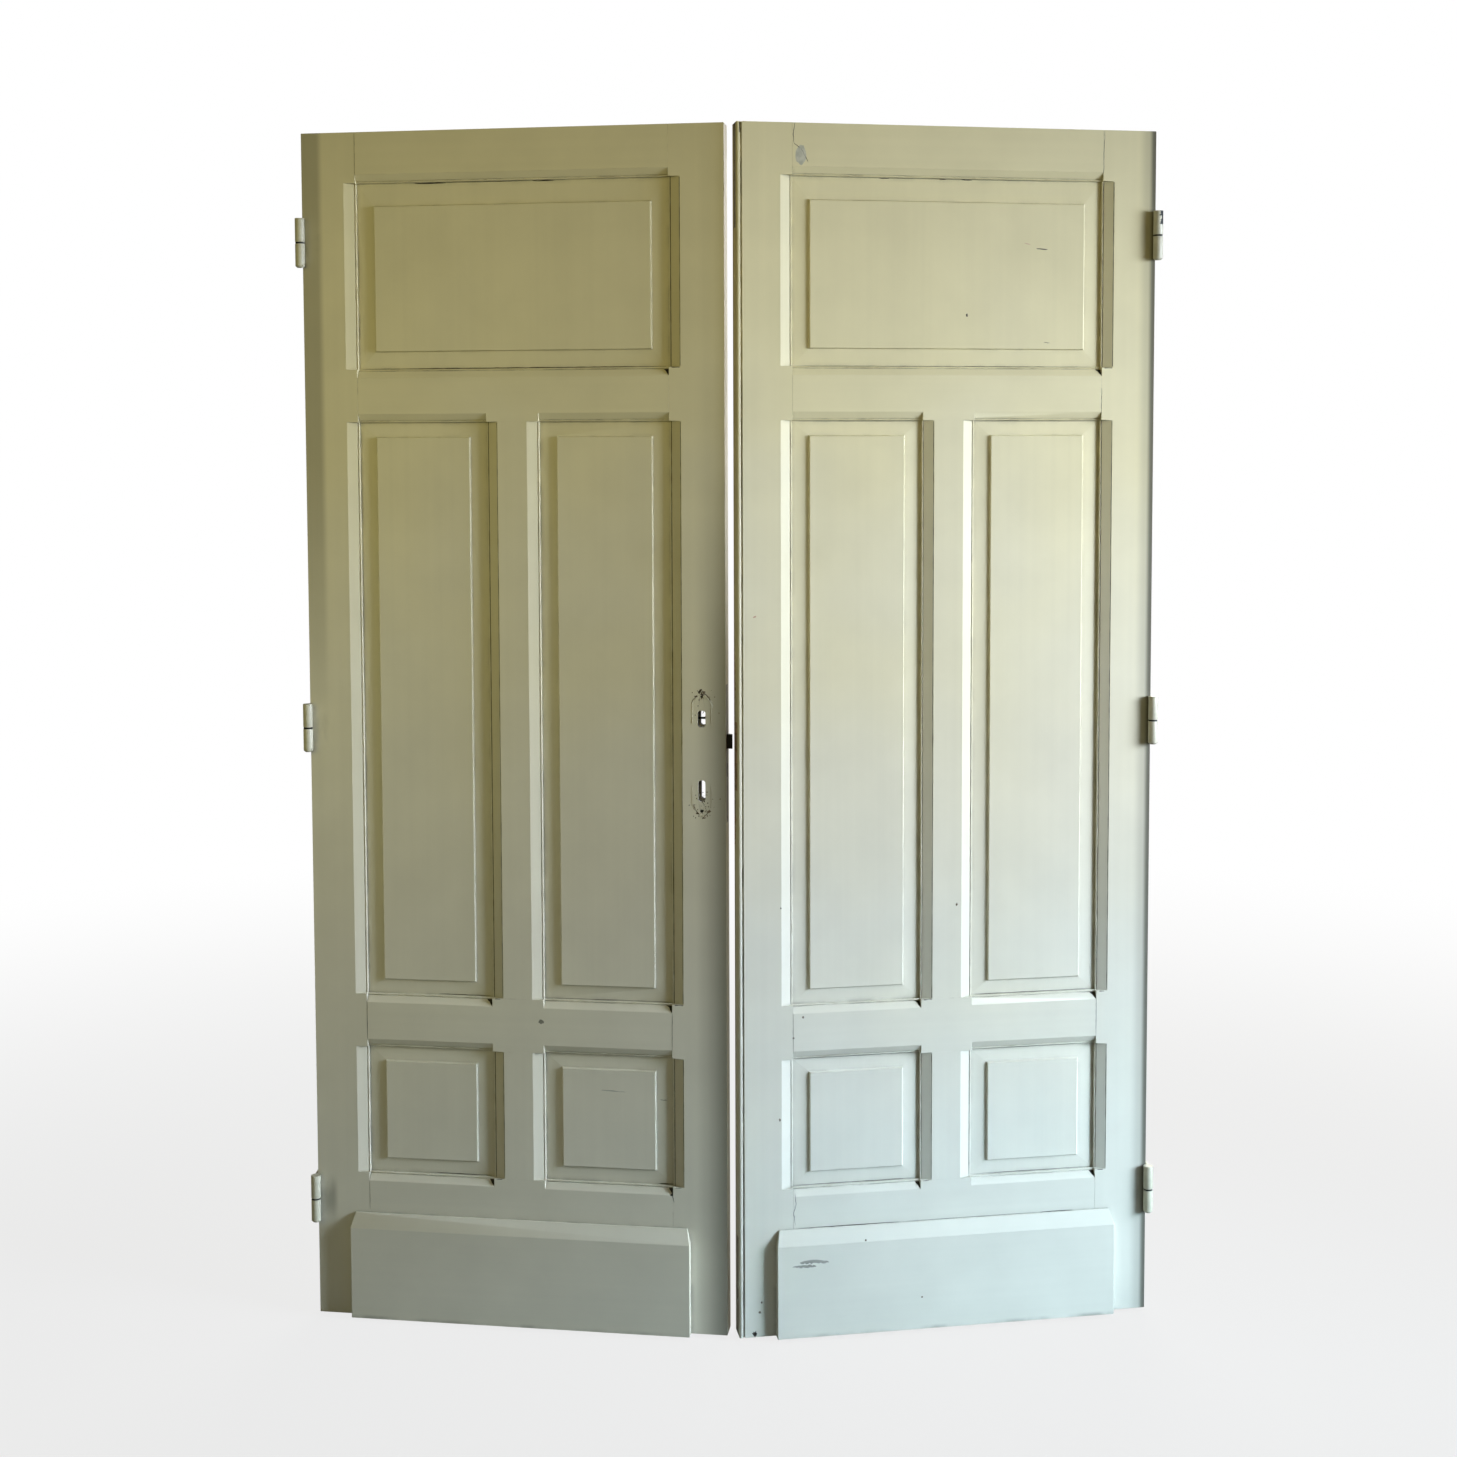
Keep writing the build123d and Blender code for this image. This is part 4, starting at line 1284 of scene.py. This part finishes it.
@dataclass
class MouldingShade:
    """Painted shade on the shaded side of the openings: dark lines in quirks and on arrises, and painted
    shadows in stopped corners.

    Its lengths are in mm, apart from how proud it stands.
    """

    leaf: LeafPlace
    finishes: Finishes
    quirk: float = 2.85
    quirk_width: float = 1.5
    quirk_inset: float = 1.0
    foot: float = 3.5
    stile_chamfer: float = 17.5
    rail_chamfer: float = 11.5
    arris_width: float = 1.6
    arris_inset: float = 2.0
    arris_gap: float = 0.3
    corner_start: float = 5.0
    corner_end: float = 14.0
    corner_spread: float = 6.0
    corner_drop: float = 0.9
    corner_width: float = 1.6
    corner_run: float = 10.0
    corner_least: float = 0.3
    corner_gap: float = 0.05
    corner_range: Point = (0.75, 1.1)
    corner_steps: int = 5
    corner_proud: float = 0.12 * MM
    step: float = 14.0
    least_steps: int = 4
    sway: float = 0.08
    width_range: Point = (0.35, 1.0)
    proud: float = 0.06 * MM

    def build(self) -> None:
        """Draw the quirks, the arrises and the corners, each as one piece."""
        side = self.leaf.side.value
        # All three are painted shade, drawn only on the side of each opening away from the lamps.
        for name, draw, tone in (
            ("quirk_shade", self.draw_quirks, Tone.CHIP),
            ("arris_shade", self.draw_arrises, Tone.GREY_DIRT),
            ("corner_shadow", self.draw_corners, Tone.CRACK),
        ):
            new_piece(f"{side}_{name}", draw, self.finishes.marks[tone], self.leaf.body)

    @property
    def shaded(self) -> float:
        """1 where the shaded side of an opening is the meeting side, -1 where it is the hinge side."""
        return 1.0 if self.leaf.side is Side.LEFT else -1.0

    def shaded_edge(self, opening: Opening) -> float:
        """Where the shaded side of an opening is."""
        return opening.high_x if self.shaded > 0 else opening.low_x

    def draw_line(
        self,
        shape: bmesh.types.BMesh,
        patch: Patch,
        start: Point,
        end: Point,
        width: float,
        seed: int,
    ) -> None:
        """Painted shade along a straight line, of changing width.

        Args:
            shape: the mesh to add to.
            patch: the place that the line is drawn on.
            start: its first point, in mm.
            end: its last point, in mm.
            width: its greatest width, in mm.
            seed: picks the widths.
        """
        pick = random.Random(seed)
        steps = max(self.least_steps, int((Vector(end) - Vector(start)).length / self.step))
        line = wander(start, end, steps, self.sway, seed)
        widths = [width * MM * pick.uniform(*self.width_range) for _ in line]
        draw_ribbon(shape, patch, [(x * MM, z * MM) for x, z in line], widths, self.proud)

    def draw_quirks(self, shape: bmesh.types.BMesh) -> None:
        """Painted shade: dark lines in the quirks on the shaded side of each opening.

        Args:
            shape: the mesh to fill.
        """
        patch = Patch.on_front(self.leaf, Surface.QUIRK, HINGE_EDGE, 0.0)
        for count, opening in enumerate(OPENINGS):
            x = self.shaded_edge(opening) + self.shaded * self.quirk
            low, high = opening.low_z + self.quirk_inset, opening.high_z - self.quirk_inset
            self.draw_line(shape, patch, (x, low), (x, high), self.quirk_width, count)

    def draw_arrises(self, shape: bmesh.types.BMesh) -> None:
        """Painted shade: dark lines on the shaded chamfers, along their outer arrises.

        Args:
            shape: the mesh to fill.
        """
        slope = math.atan2(CHAMFER_DEPTH, self.stile_chamfer * MM)
        run = math.hypot(CHAMFER_DEPTH, self.stile_chamfer * MM) / MM
        depth = self.leaf.depth(Surface.QUIRK)
        along = (self.shaded * math.cos(slope), -math.sin(slope))
        out = (-self.shaded * math.sin(slope), -math.cos(slope))
        spot = run - self.arris_width / 2 - self.arris_gap
        for count, opening in enumerate(OPENINGS):
            x = HINGE_EDGE + (self.shaded_edge(opening) + self.shaded * self.foot) * MM
            axes = Matrix(
                ((along[0], 0, out[0], x), (along[1], 0, out[1], depth), (0, 1, 0, 0), (0, 0, 0, 1))
            )
            patch = Patch(self.leaf.matrix @ axes)
            low, high = opening.low_z + self.arris_inset, opening.high_z - self.arris_inset
            self.draw_line(shape, patch, (spot, low), (spot, high), self.arris_width, count)

    def draw_corners(self, shape: bmesh.types.BMesh) -> None:
        """Painted shadows in the lower corners on the shaded side: under the stile's chamfer, and where the
        rail's one stops.

        Args:
            shape: the mesh to fill.
        """
        face = self.leaf.depth(Surface.FACE)
        front = Patch.on_front(self.leaf, Surface.FACE, HINGE_EDGE, 0.0)
        for count, opening in enumerate(OPENINGS):
            pick = random.Random(count)
            edge = self.shaded_edge(opening)
            start = edge + self.shaded * self.corner_start
            end = edge + self.shaded * (self.corner_end + pick.uniform(0, self.corner_spread))
            z = opening.low_z - self.corner_drop
            self.draw_line(shape, front, (start, z), (end, z), self.corner_width, count)
            rows = []
            for i in range(self.corner_steps + 1):
                share = i / self.corner_steps
                y = face + CHAMFER_DEPTH * (1 - share) - self.corner_proud
                z = opening.low_z - self.foot - self.rail_chamfer * share
                reach = self.corner_run * (1 - share) * pick.uniform(*self.corner_range) + self.corner_least
                ends = (edge - self.shaded * self.corner_gap, edge - self.shaded * reach)
                spots = [Vector((HINGE_EDGE + x * MM, y, z * MM)) for x in ends]
                rows.append([shape.verts.new(self.leaf.matrix @ spot) for spot in spots])
            for upper, lower in zip(rows, rows[1:]):
                shape.faces.new((upper[0], upper[1], lower[1], lower[0]))


@dataclass
class PlateTrace:
    """What a long pointed plate left behind: an uneven lip of paint, and specks at its ends."""

    leaf: LeafPlace
    finishes: Finishes
    backset: float = 42.5 * MM
    half_height: float = 113.7 * MM
    half_width: float = 17 * MM
    point_rise: float = 25 * MM
    side_run: float = 34 * MM
    lip_width: float = 1.3 * MM
    point_steps: int = 12
    point_bulge: float = 0.10
    side_steps: int = 8
    lip_range: Point = (0.35, 1.0)
    lip_proud: float = 0.45 * MM
    lip_seed: int = 4
    specks: int = 74
    upper_speck: int = 4
    speck_spread: float = 0.55
    speck_run: float = 1.9
    speck_reach: float = 1.0 * MM
    speck_range: Point = (0.4, 1.0)
    speck_tall: float = 1.3
    speck_rough: float = 0.3
    speck_proud: float = 0.1 * MM
    speck_corners: int = 7
    speck_seed: int = 11

    def build(self) -> None:
        """Draw the lip and the specks."""
        low, high = self.leaf.box("lock_forend")
        middle = (low.z + high.z) / 2
        patch = Patch.on_front(self.leaf, Surface.FACE, high.x - self.backset, middle)
        body = self.leaf.body
        paint = self.finishes.paint[self.leaf.side, Grain.UPRIGHT]
        new_piece("plate_lip", lambda shape: self.draw_lip(shape, patch), paint, body)
        chip = self.finishes.marks[Tone.CHIP]
        new_piece("plate_specks", lambda shape: self.draw_specks(shape, patch), chip, body)

    def end_line(self, up: float, side: float) -> list[Point]:
        """Half of one end's outline, from its point to the straight side.

        Args:
            up: 1 for the upper end, -1 for the lower.
            side: 1 for the meeting side, -1 for the hinge side.

        Returns:
            The points of the line.
        """
        line = []
        for i in range(self.point_steps + 1):
            share = i / self.point_steps
            bulge = share - self.point_bulge * math.sin(math.tau * share)
            height = self.half_height - self.point_rise * share
            line.append((side * self.half_width * bulge, up * height))
        for i in range(1, self.side_steps + 1):
            drop = self.point_rise + self.side_run * i / self.side_steps
            line.append((side * self.half_width, up * (self.half_height - drop)))
        return line

    def draw_lip(self, shape: bmesh.types.BMesh, patch: Patch) -> None:
        """The lip round both ends, of changing width.

        Args:
            shape: the mesh to fill.
            patch: the place of the plate's middle.
        """
        draw = random.Random(self.lip_seed)
        for up in (1.0, -1.0):
            for side in (1.0, -1.0):
                line = self.end_line(up, side)
                widths = [self.lip_width * draw.uniform(*self.lip_range) for _ in line]
                draw_ribbon(shape, patch, line, widths, self.lip_proud)

    def draw_specks(self, shape: bmesh.types.BMesh, patch: Patch) -> None:
        """Specks where the paint has flaked off, mostly round the lower end.

        Args:
            shape: the mesh to fill.
            patch: the place of the plate's middle.
        """
        draw = random.Random(self.speck_seed)
        for count in range(self.specks):
            up = 1.0 if count % self.upper_speck == 0 else -1.0
            right = draw.gauss(0.0, self.speck_spread) * self.half_width
            height = up * (self.half_height - draw.uniform(0.0, self.speck_run) * self.point_rise)
            spot = Patch(patch.matrix @ Matrix.Translation((right, height, 0.0)))
            size = self.speck_reach * draw.uniform(*self.speck_range)
            reach = (size, size * self.speck_tall)
            draw_blot(shape, spot, reach, self.speck_rough, count, self.speck_proud, self.speck_corners)


@dataclass
class SlotShadeLinings:
    """Painted shade: near-black walls inside the slots for the handle and the key, before and behind the
    lock case.
    """

    leaf: LeafPlace
    finishes: Finishes
    centre: float = 719 * MM
    heights: Point = (1113 * MM, 985 * MM)
    sizes: Sequence[Point] = ((13.6 * MM, 29 * MM), (12.4 * MM, 37.5 * MM))
    clip: float = 3 * MM
    gap: float = 0.12 * MM
    walls: Sequence[Point] = ((0.5 * MM, 11.5 * MM), (28.5 * MM, 39.5 * MM))

    def build(self) -> None:
        """Line both slots."""
        # Painted shade: near-black walls in the slots' recesses.
        crack = self.finishes.marks[Tone.CRACK]
        new_piece("slot_shade_linings", self.draw, crack, self.leaf.body)

    def draw(self, shape: bmesh.types.BMesh) -> None:
        """A wall round each slot, in front of the lock case and behind it.

        Args:
            shape: the mesh to fill.
        """
        for height, (width, rise) in zip(self.heights, self.sizes):
            patch = Patch.on_front(self.leaf, Surface.FACE, self.centre, height)
            x, z = width / 2 - self.gap, rise / 2 - self.gap
            corners = []
            for right, up in ((1, 1), (-1, 1), (-1, -1), (1, -1)):
                pair = [(right * x, up * (z - self.clip)), (right * (x - self.clip), up * z)]
                corners += pair if right * up > 0 else pair[::-1]
            for front, back in self.walls:
                mouth = [shape.verts.new(patch.point(*spot, -front)) for spot in corners]
                inside = [shape.verts.new(patch.point(*spot, -back)) for spot in corners]
                for i in range(len(corners)):
                    j = (i + 1) % len(corners)
                    shape.faces.new((mouth[i], mouth[j], inside[j], inside[i]))


@dataclass
class RubbedEdge:
    """Wood rubbed bare along the meeting edge of the passive leaf, beside the latch.

    A stretch is its lower end, its upper end and how far it reaches inwards, in mm.
    """

    leaf: LeafPlace
    finishes: Finishes
    stretches: Sequence[Triple] = (
        (969, 1062, 8.5),
        (1083, 1128, 8.5),
        (886, 966, 19),
        (1120, 1236, 17),
    )
    margin: float = 0.9 * MM
    steps: int = 26
    width_range: Point = (0.3, 1.0)
    proud: float = 0.1 * MM

    def build(self) -> None:
        """Rub the edge."""
        wood = self.finishes.marks[Tone.WOOD]
        new_piece("right_rubbed_edge", self.draw, wood, self.leaf.body)

    def draw(self, shape: bmesh.types.BMesh) -> None:
        """One strip for each stretch, straight along the back arris and ragged inwards.

        Args:
            shape: the mesh to fill.
        """
        corner = self.leaf.box("right_meeting_stile")[1]
        patch = Patch.on_edge(self.leaf, corner.x, corner.y, 0.0, 1.0)
        for seed, (start, end, reach) in enumerate(self.stretches):
            pick = random.Random(seed)
            rows = []
            for i in range(self.steps + 1):
                height = (start + (end - start) * i / self.steps) * MM
                swell = math.sqrt(math.sin(math.pi * (i + 0.5) / (self.steps + 1)))
                width = reach * MM * pick.uniform(*self.width_range) * swell
                sides = (-self.margin, -self.margin - width)
                rows.append([shape.verts.new(patch.point(side, height, self.proud)) for side in sides])
            for (outer, inner), (next_outer, next_inner) in zip(rows, rows[1:]):
                shape.faces.new((outer, inner, next_inner, next_outer))


@dataclass
class KnuckleChip:
    """Bare iron where the paint has left the top of a hinge's knuckle."""

    leaf: LeafPlace
    finishes: Finishes
    radius: float = 8.5 * MM
    height: float = 24 * MM
    proud: float = 0.12 * MM
    start: float = math.radians(-88)
    end: float = math.radians(25)
    columns: int = 14
    rows: int = 16
    ragged: float = 0.5
    notch: float = 0.55
    notch_span: Point = (0.45, 0.62)
    seed: int = 3

    def build(self) -> None:
        """Chip the knuckle of the upper hinge."""
        iron = self.finishes.slots[Slot.IRON]
        new_piece("right_knuckle_chip", self.draw, iron, self.leaf.body)

    def draw(self, shape: bmesh.types.BMesh) -> None:
        """A grid wrapped round the knuckle, whose left side is ragged, with one notch.

        Args:
            shape: the mesh to fill.
        """
        top = self.leaf.box("{side}_leaf_hinges")[1].z
        reach = self.radius + self.proud
        pick = random.Random(self.seed)
        grid = []
        for row in range(self.rows + 1):
            share = row / self.rows
            notched = self.notch_span[0] < share < self.notch_span[1]
            start = self.start + pick.uniform(0.0, self.ragged) + (self.notch if notched else 0.0)
            height = top - self.height * share
            line = []
            for column in range(self.columns + 1):
                angle = start + (self.end - start) * column / self.columns
                spot = Vector((math.cos(angle) * reach, math.sin(angle) * reach, height))
                line.append(shape.verts.new(self.leaf.axis + spot))
            grid.append(line)
        for upper, lower in zip(grid, grid[1:]):
            for i in range(self.columns):
                shape.faces.new((upper[i], upper[i + 1], lower[i + 1], lower[i]))


@dataclass
class Studio:
    """Pale floor, white surroundings and soft lamps."""

    floor_drop: float = 6 * MM
    floor_reach: float = 60.0
    floor_colour: Colour = (0.30, 0.30, 0.29)
    floor_roughness: float = 0.9
    floor_corners: int = 96
    floor_white: float = 0.80
    floor_fade: Point = (1.2, 4.5)
    fill: Colour = (0.95, 0.90, 0.78)
    fill_strength: float = 0.05

    def build(self) -> None:
        """Set up the whole studio."""
        self.add_floor()
        self.set_surroundings()
        for lamp in LAMPS:
            lamp.build()

    def add_floor(self) -> None:
        """A wide pale floor a little below the leaves, which goes over into white further out."""
        material, graph, shader = new_material("pale_floor")
        place = graph.node("ShaderNodeTexCoord").outputs["Object"]
        reach = graph.node("ShaderNodeVectorMath", {0: place}, operation="LENGTH").outputs["Value"]
        shader.inputs["Base Color"].default_value = rgba(self.floor_colour)
        shader.inputs["Roughness"].default_value = self.floor_roughness
        glow = graph.node("ShaderNodeEmission", {"Color": WHITE, "Strength": 1.0})
        seen = graph.node("ShaderNodeLightPath").outputs["Is Camera Ray"]
        fade = graph.lift(self.floor_white, graph.ramp(reach, *self.floor_fade), 1 - self.floor_white)
        share = graph.times(seen, fade)
        both = graph.node("ShaderNodeMixShader", {0: share, 1: shader.outputs[0], 2: glow.outputs[0]})
        graph.feed(material.node_tree.nodes["Material Output"].inputs[0], both.outputs[0])
        mesh = bpy.data.meshes.new("floor")
        shape = bmesh.new()
        bmesh.ops.create_circle(
            shape, cap_ends=True, segments=self.floor_corners, radius=self.floor_reach
        )
        shape.to_mesh(mesh)
        shape.free()
        mesh.materials.append(material)
        floor = bpy.data.objects.new("floor", mesh)
        floor.location.z = -self.floor_drop
        bpy.context.scene.collection.objects.link(floor)

    def set_surroundings(self) -> None:
        """White to look at, and a dim warm fill to light by."""
        world = bpy.data.worlds.new("studio")
        world.use_nodes = True
        bpy.context.scene.world = world
        graph = Graph(world.node_tree)
        seen = graph.node("ShaderNodeBackground", {"Color": WHITE, "Strength": 1.0})
        fill = {"Color": rgba(self.fill), "Strength": self.fill_strength}
        lit = graph.node("ShaderNodeBackground", fill)
        ray = graph.node("ShaderNodeLightPath").outputs["Is Camera Ray"]
        both = graph.node("ShaderNodeMixShader", {0: ray, 1: lit.outputs[0], 2: seen.outputs[0]})
        graph.feed(world.node_tree.nodes["World Output"].inputs[0], both.outputs[0])


@dataclass(frozen=True)
class Lamp:
    """A soft box that points at a spot."""

    name: str
    place: Triple
    aim: Triple
    size: Point
    power: float
    colour: Colour
    spread: float = math.pi

    def build(self) -> None:
        """Hang the lamp."""
        light = bpy.data.lights.new(self.name, "AREA")
        light.shape = "RECTANGLE"
        light.size, light.size_y = self.size
        light.energy = self.power
        light.color = self.colour
        light.spread = self.spread
        lamp = bpy.data.objects.new(self.name, light)
        lamp.location = self.place
        beam = Vector(self.aim) - Vector(self.place)
        lamp.rotation_euler = beam.to_track_quat("-Z", "Y").to_euler()
        bpy.context.scene.collection.objects.link(lamp)


LAMPS = (
    Lamp(
        "window_high", (3.5, -1.3, 2.3), (0.1, 0.0, 1.95), (1.8, 1.2),
        power=1.2, colour=(1.0, 0.94, 0.91), spread=math.radians(70),
    ),
    Lamp(
        "window_middle", (3.4, -1.2, 1.7), (0.3, 0.0, 1.0), (1.6, 1.4),
        power=31.2, colour=(0.78, 0.87, 1.0), spread=math.radians(64),
    ),
    Lamp(
        "window_foot", (3.2, -1.5, 0.9), (0.6, 0.0, 0.0), (1.2, 0.5),
        power=4.2, colour=(0.58, 0.85, 1.0), spread=math.radians(34),
    ),
    Lamp(
        "warm_room", (-0.3, -2.6, 2.5), (-0.2, 0.0, 2.05), (2.4, 1.2),
        power=3.35, colour=(1.0, 0.88, 0.40), spread=math.radians(75),
    ),
    Lamp(
        "left_wall", (-1.9, -1.4, 1.5), (-0.72, 0.0, 1.1), (0.7, 1.8),
        power=1.65, colour=(1.0, 0.94, 0.38), spread=math.radians(80),
    ),
    Lamp(
        "back_room", (0.8, 3.6, 2.2), (0.0, 0.0, 1.0), (2.4, 2.4),
        power=110.0, colour=(1.0, 0.97, 0.90),
    ),
)


@dataclass(frozen=True)
class PhotoCamera:
    """The camera, where the photograph was taken from."""

    place: Triple = (-0.0246, -3.597, 1.5745)
    pitch: float = math.radians(90 - 3.72)
    roll: float = math.radians(-0.19)
    yaw: float = math.radians(-0.24)
    lens: float = 49.42
    sensor: float = 36.0
    shift: Point = (0.0023, -0.0975)

    def build(self) -> None:
        """Set the camera up and make it the scene's."""
        data = bpy.data.cameras.new("photo_camera")
        data.lens = self.lens
        data.sensor_width = self.sensor
        data.shift_x, data.shift_y = self.shift
        camera = bpy.data.objects.new("photo_camera", data)
        camera.location = self.place
        turns = ((self.yaw, "Z"), (self.pitch, "X"), (self.roll, "Z"))
        yaw, pitch, roll = (Matrix.Rotation(angle, 4, axis) for angle, axis in turns)
        camera.rotation_euler = (yaw @ pitch @ roll).to_euler()
        bpy.context.scene.collection.objects.link(camera)
        bpy.context.scene.camera = camera


def main() -> None:
    """Dress the object and set up its studio."""
    logging.basicConfig(level=logging.INFO, format="%(name)s: %(message)s")
    leaves = {side: LeafPlace.of(side) for side in Side}
    finishes = Finishes(leaves)
    for leaf in leaves.values():
        Joinery(leaf, finishes).dress()
    Ironwork(finishes).dress()
    Wear(leaves[Side.LEFT], finishes, LEFT_LINES, LEFT_BLOTS).build()
    Wear(leaves[Side.RIGHT], finishes, RIGHT_LINES, RIGHT_BLOTS).build()
    for leaf in leaves.values():
        MouldingShade(leaf, finishes).build()
    PlateTrace(leaves[Side.LEFT], finishes).build()
    SlotShadeLinings(leaves[Side.LEFT], finishes).build()
    RubbedEdge(leaves[Side.RIGHT], finishes).build()
    KnuckleChip(leaves[Side.RIGHT], finishes).build()
    Fastenings(leaves, finishes).build()
    Studio().build()
    PhotoCamera().build()
    bpy.context.scene.view_settings.view_transform = "Standard"


if __name__ == "__main__":
    main()
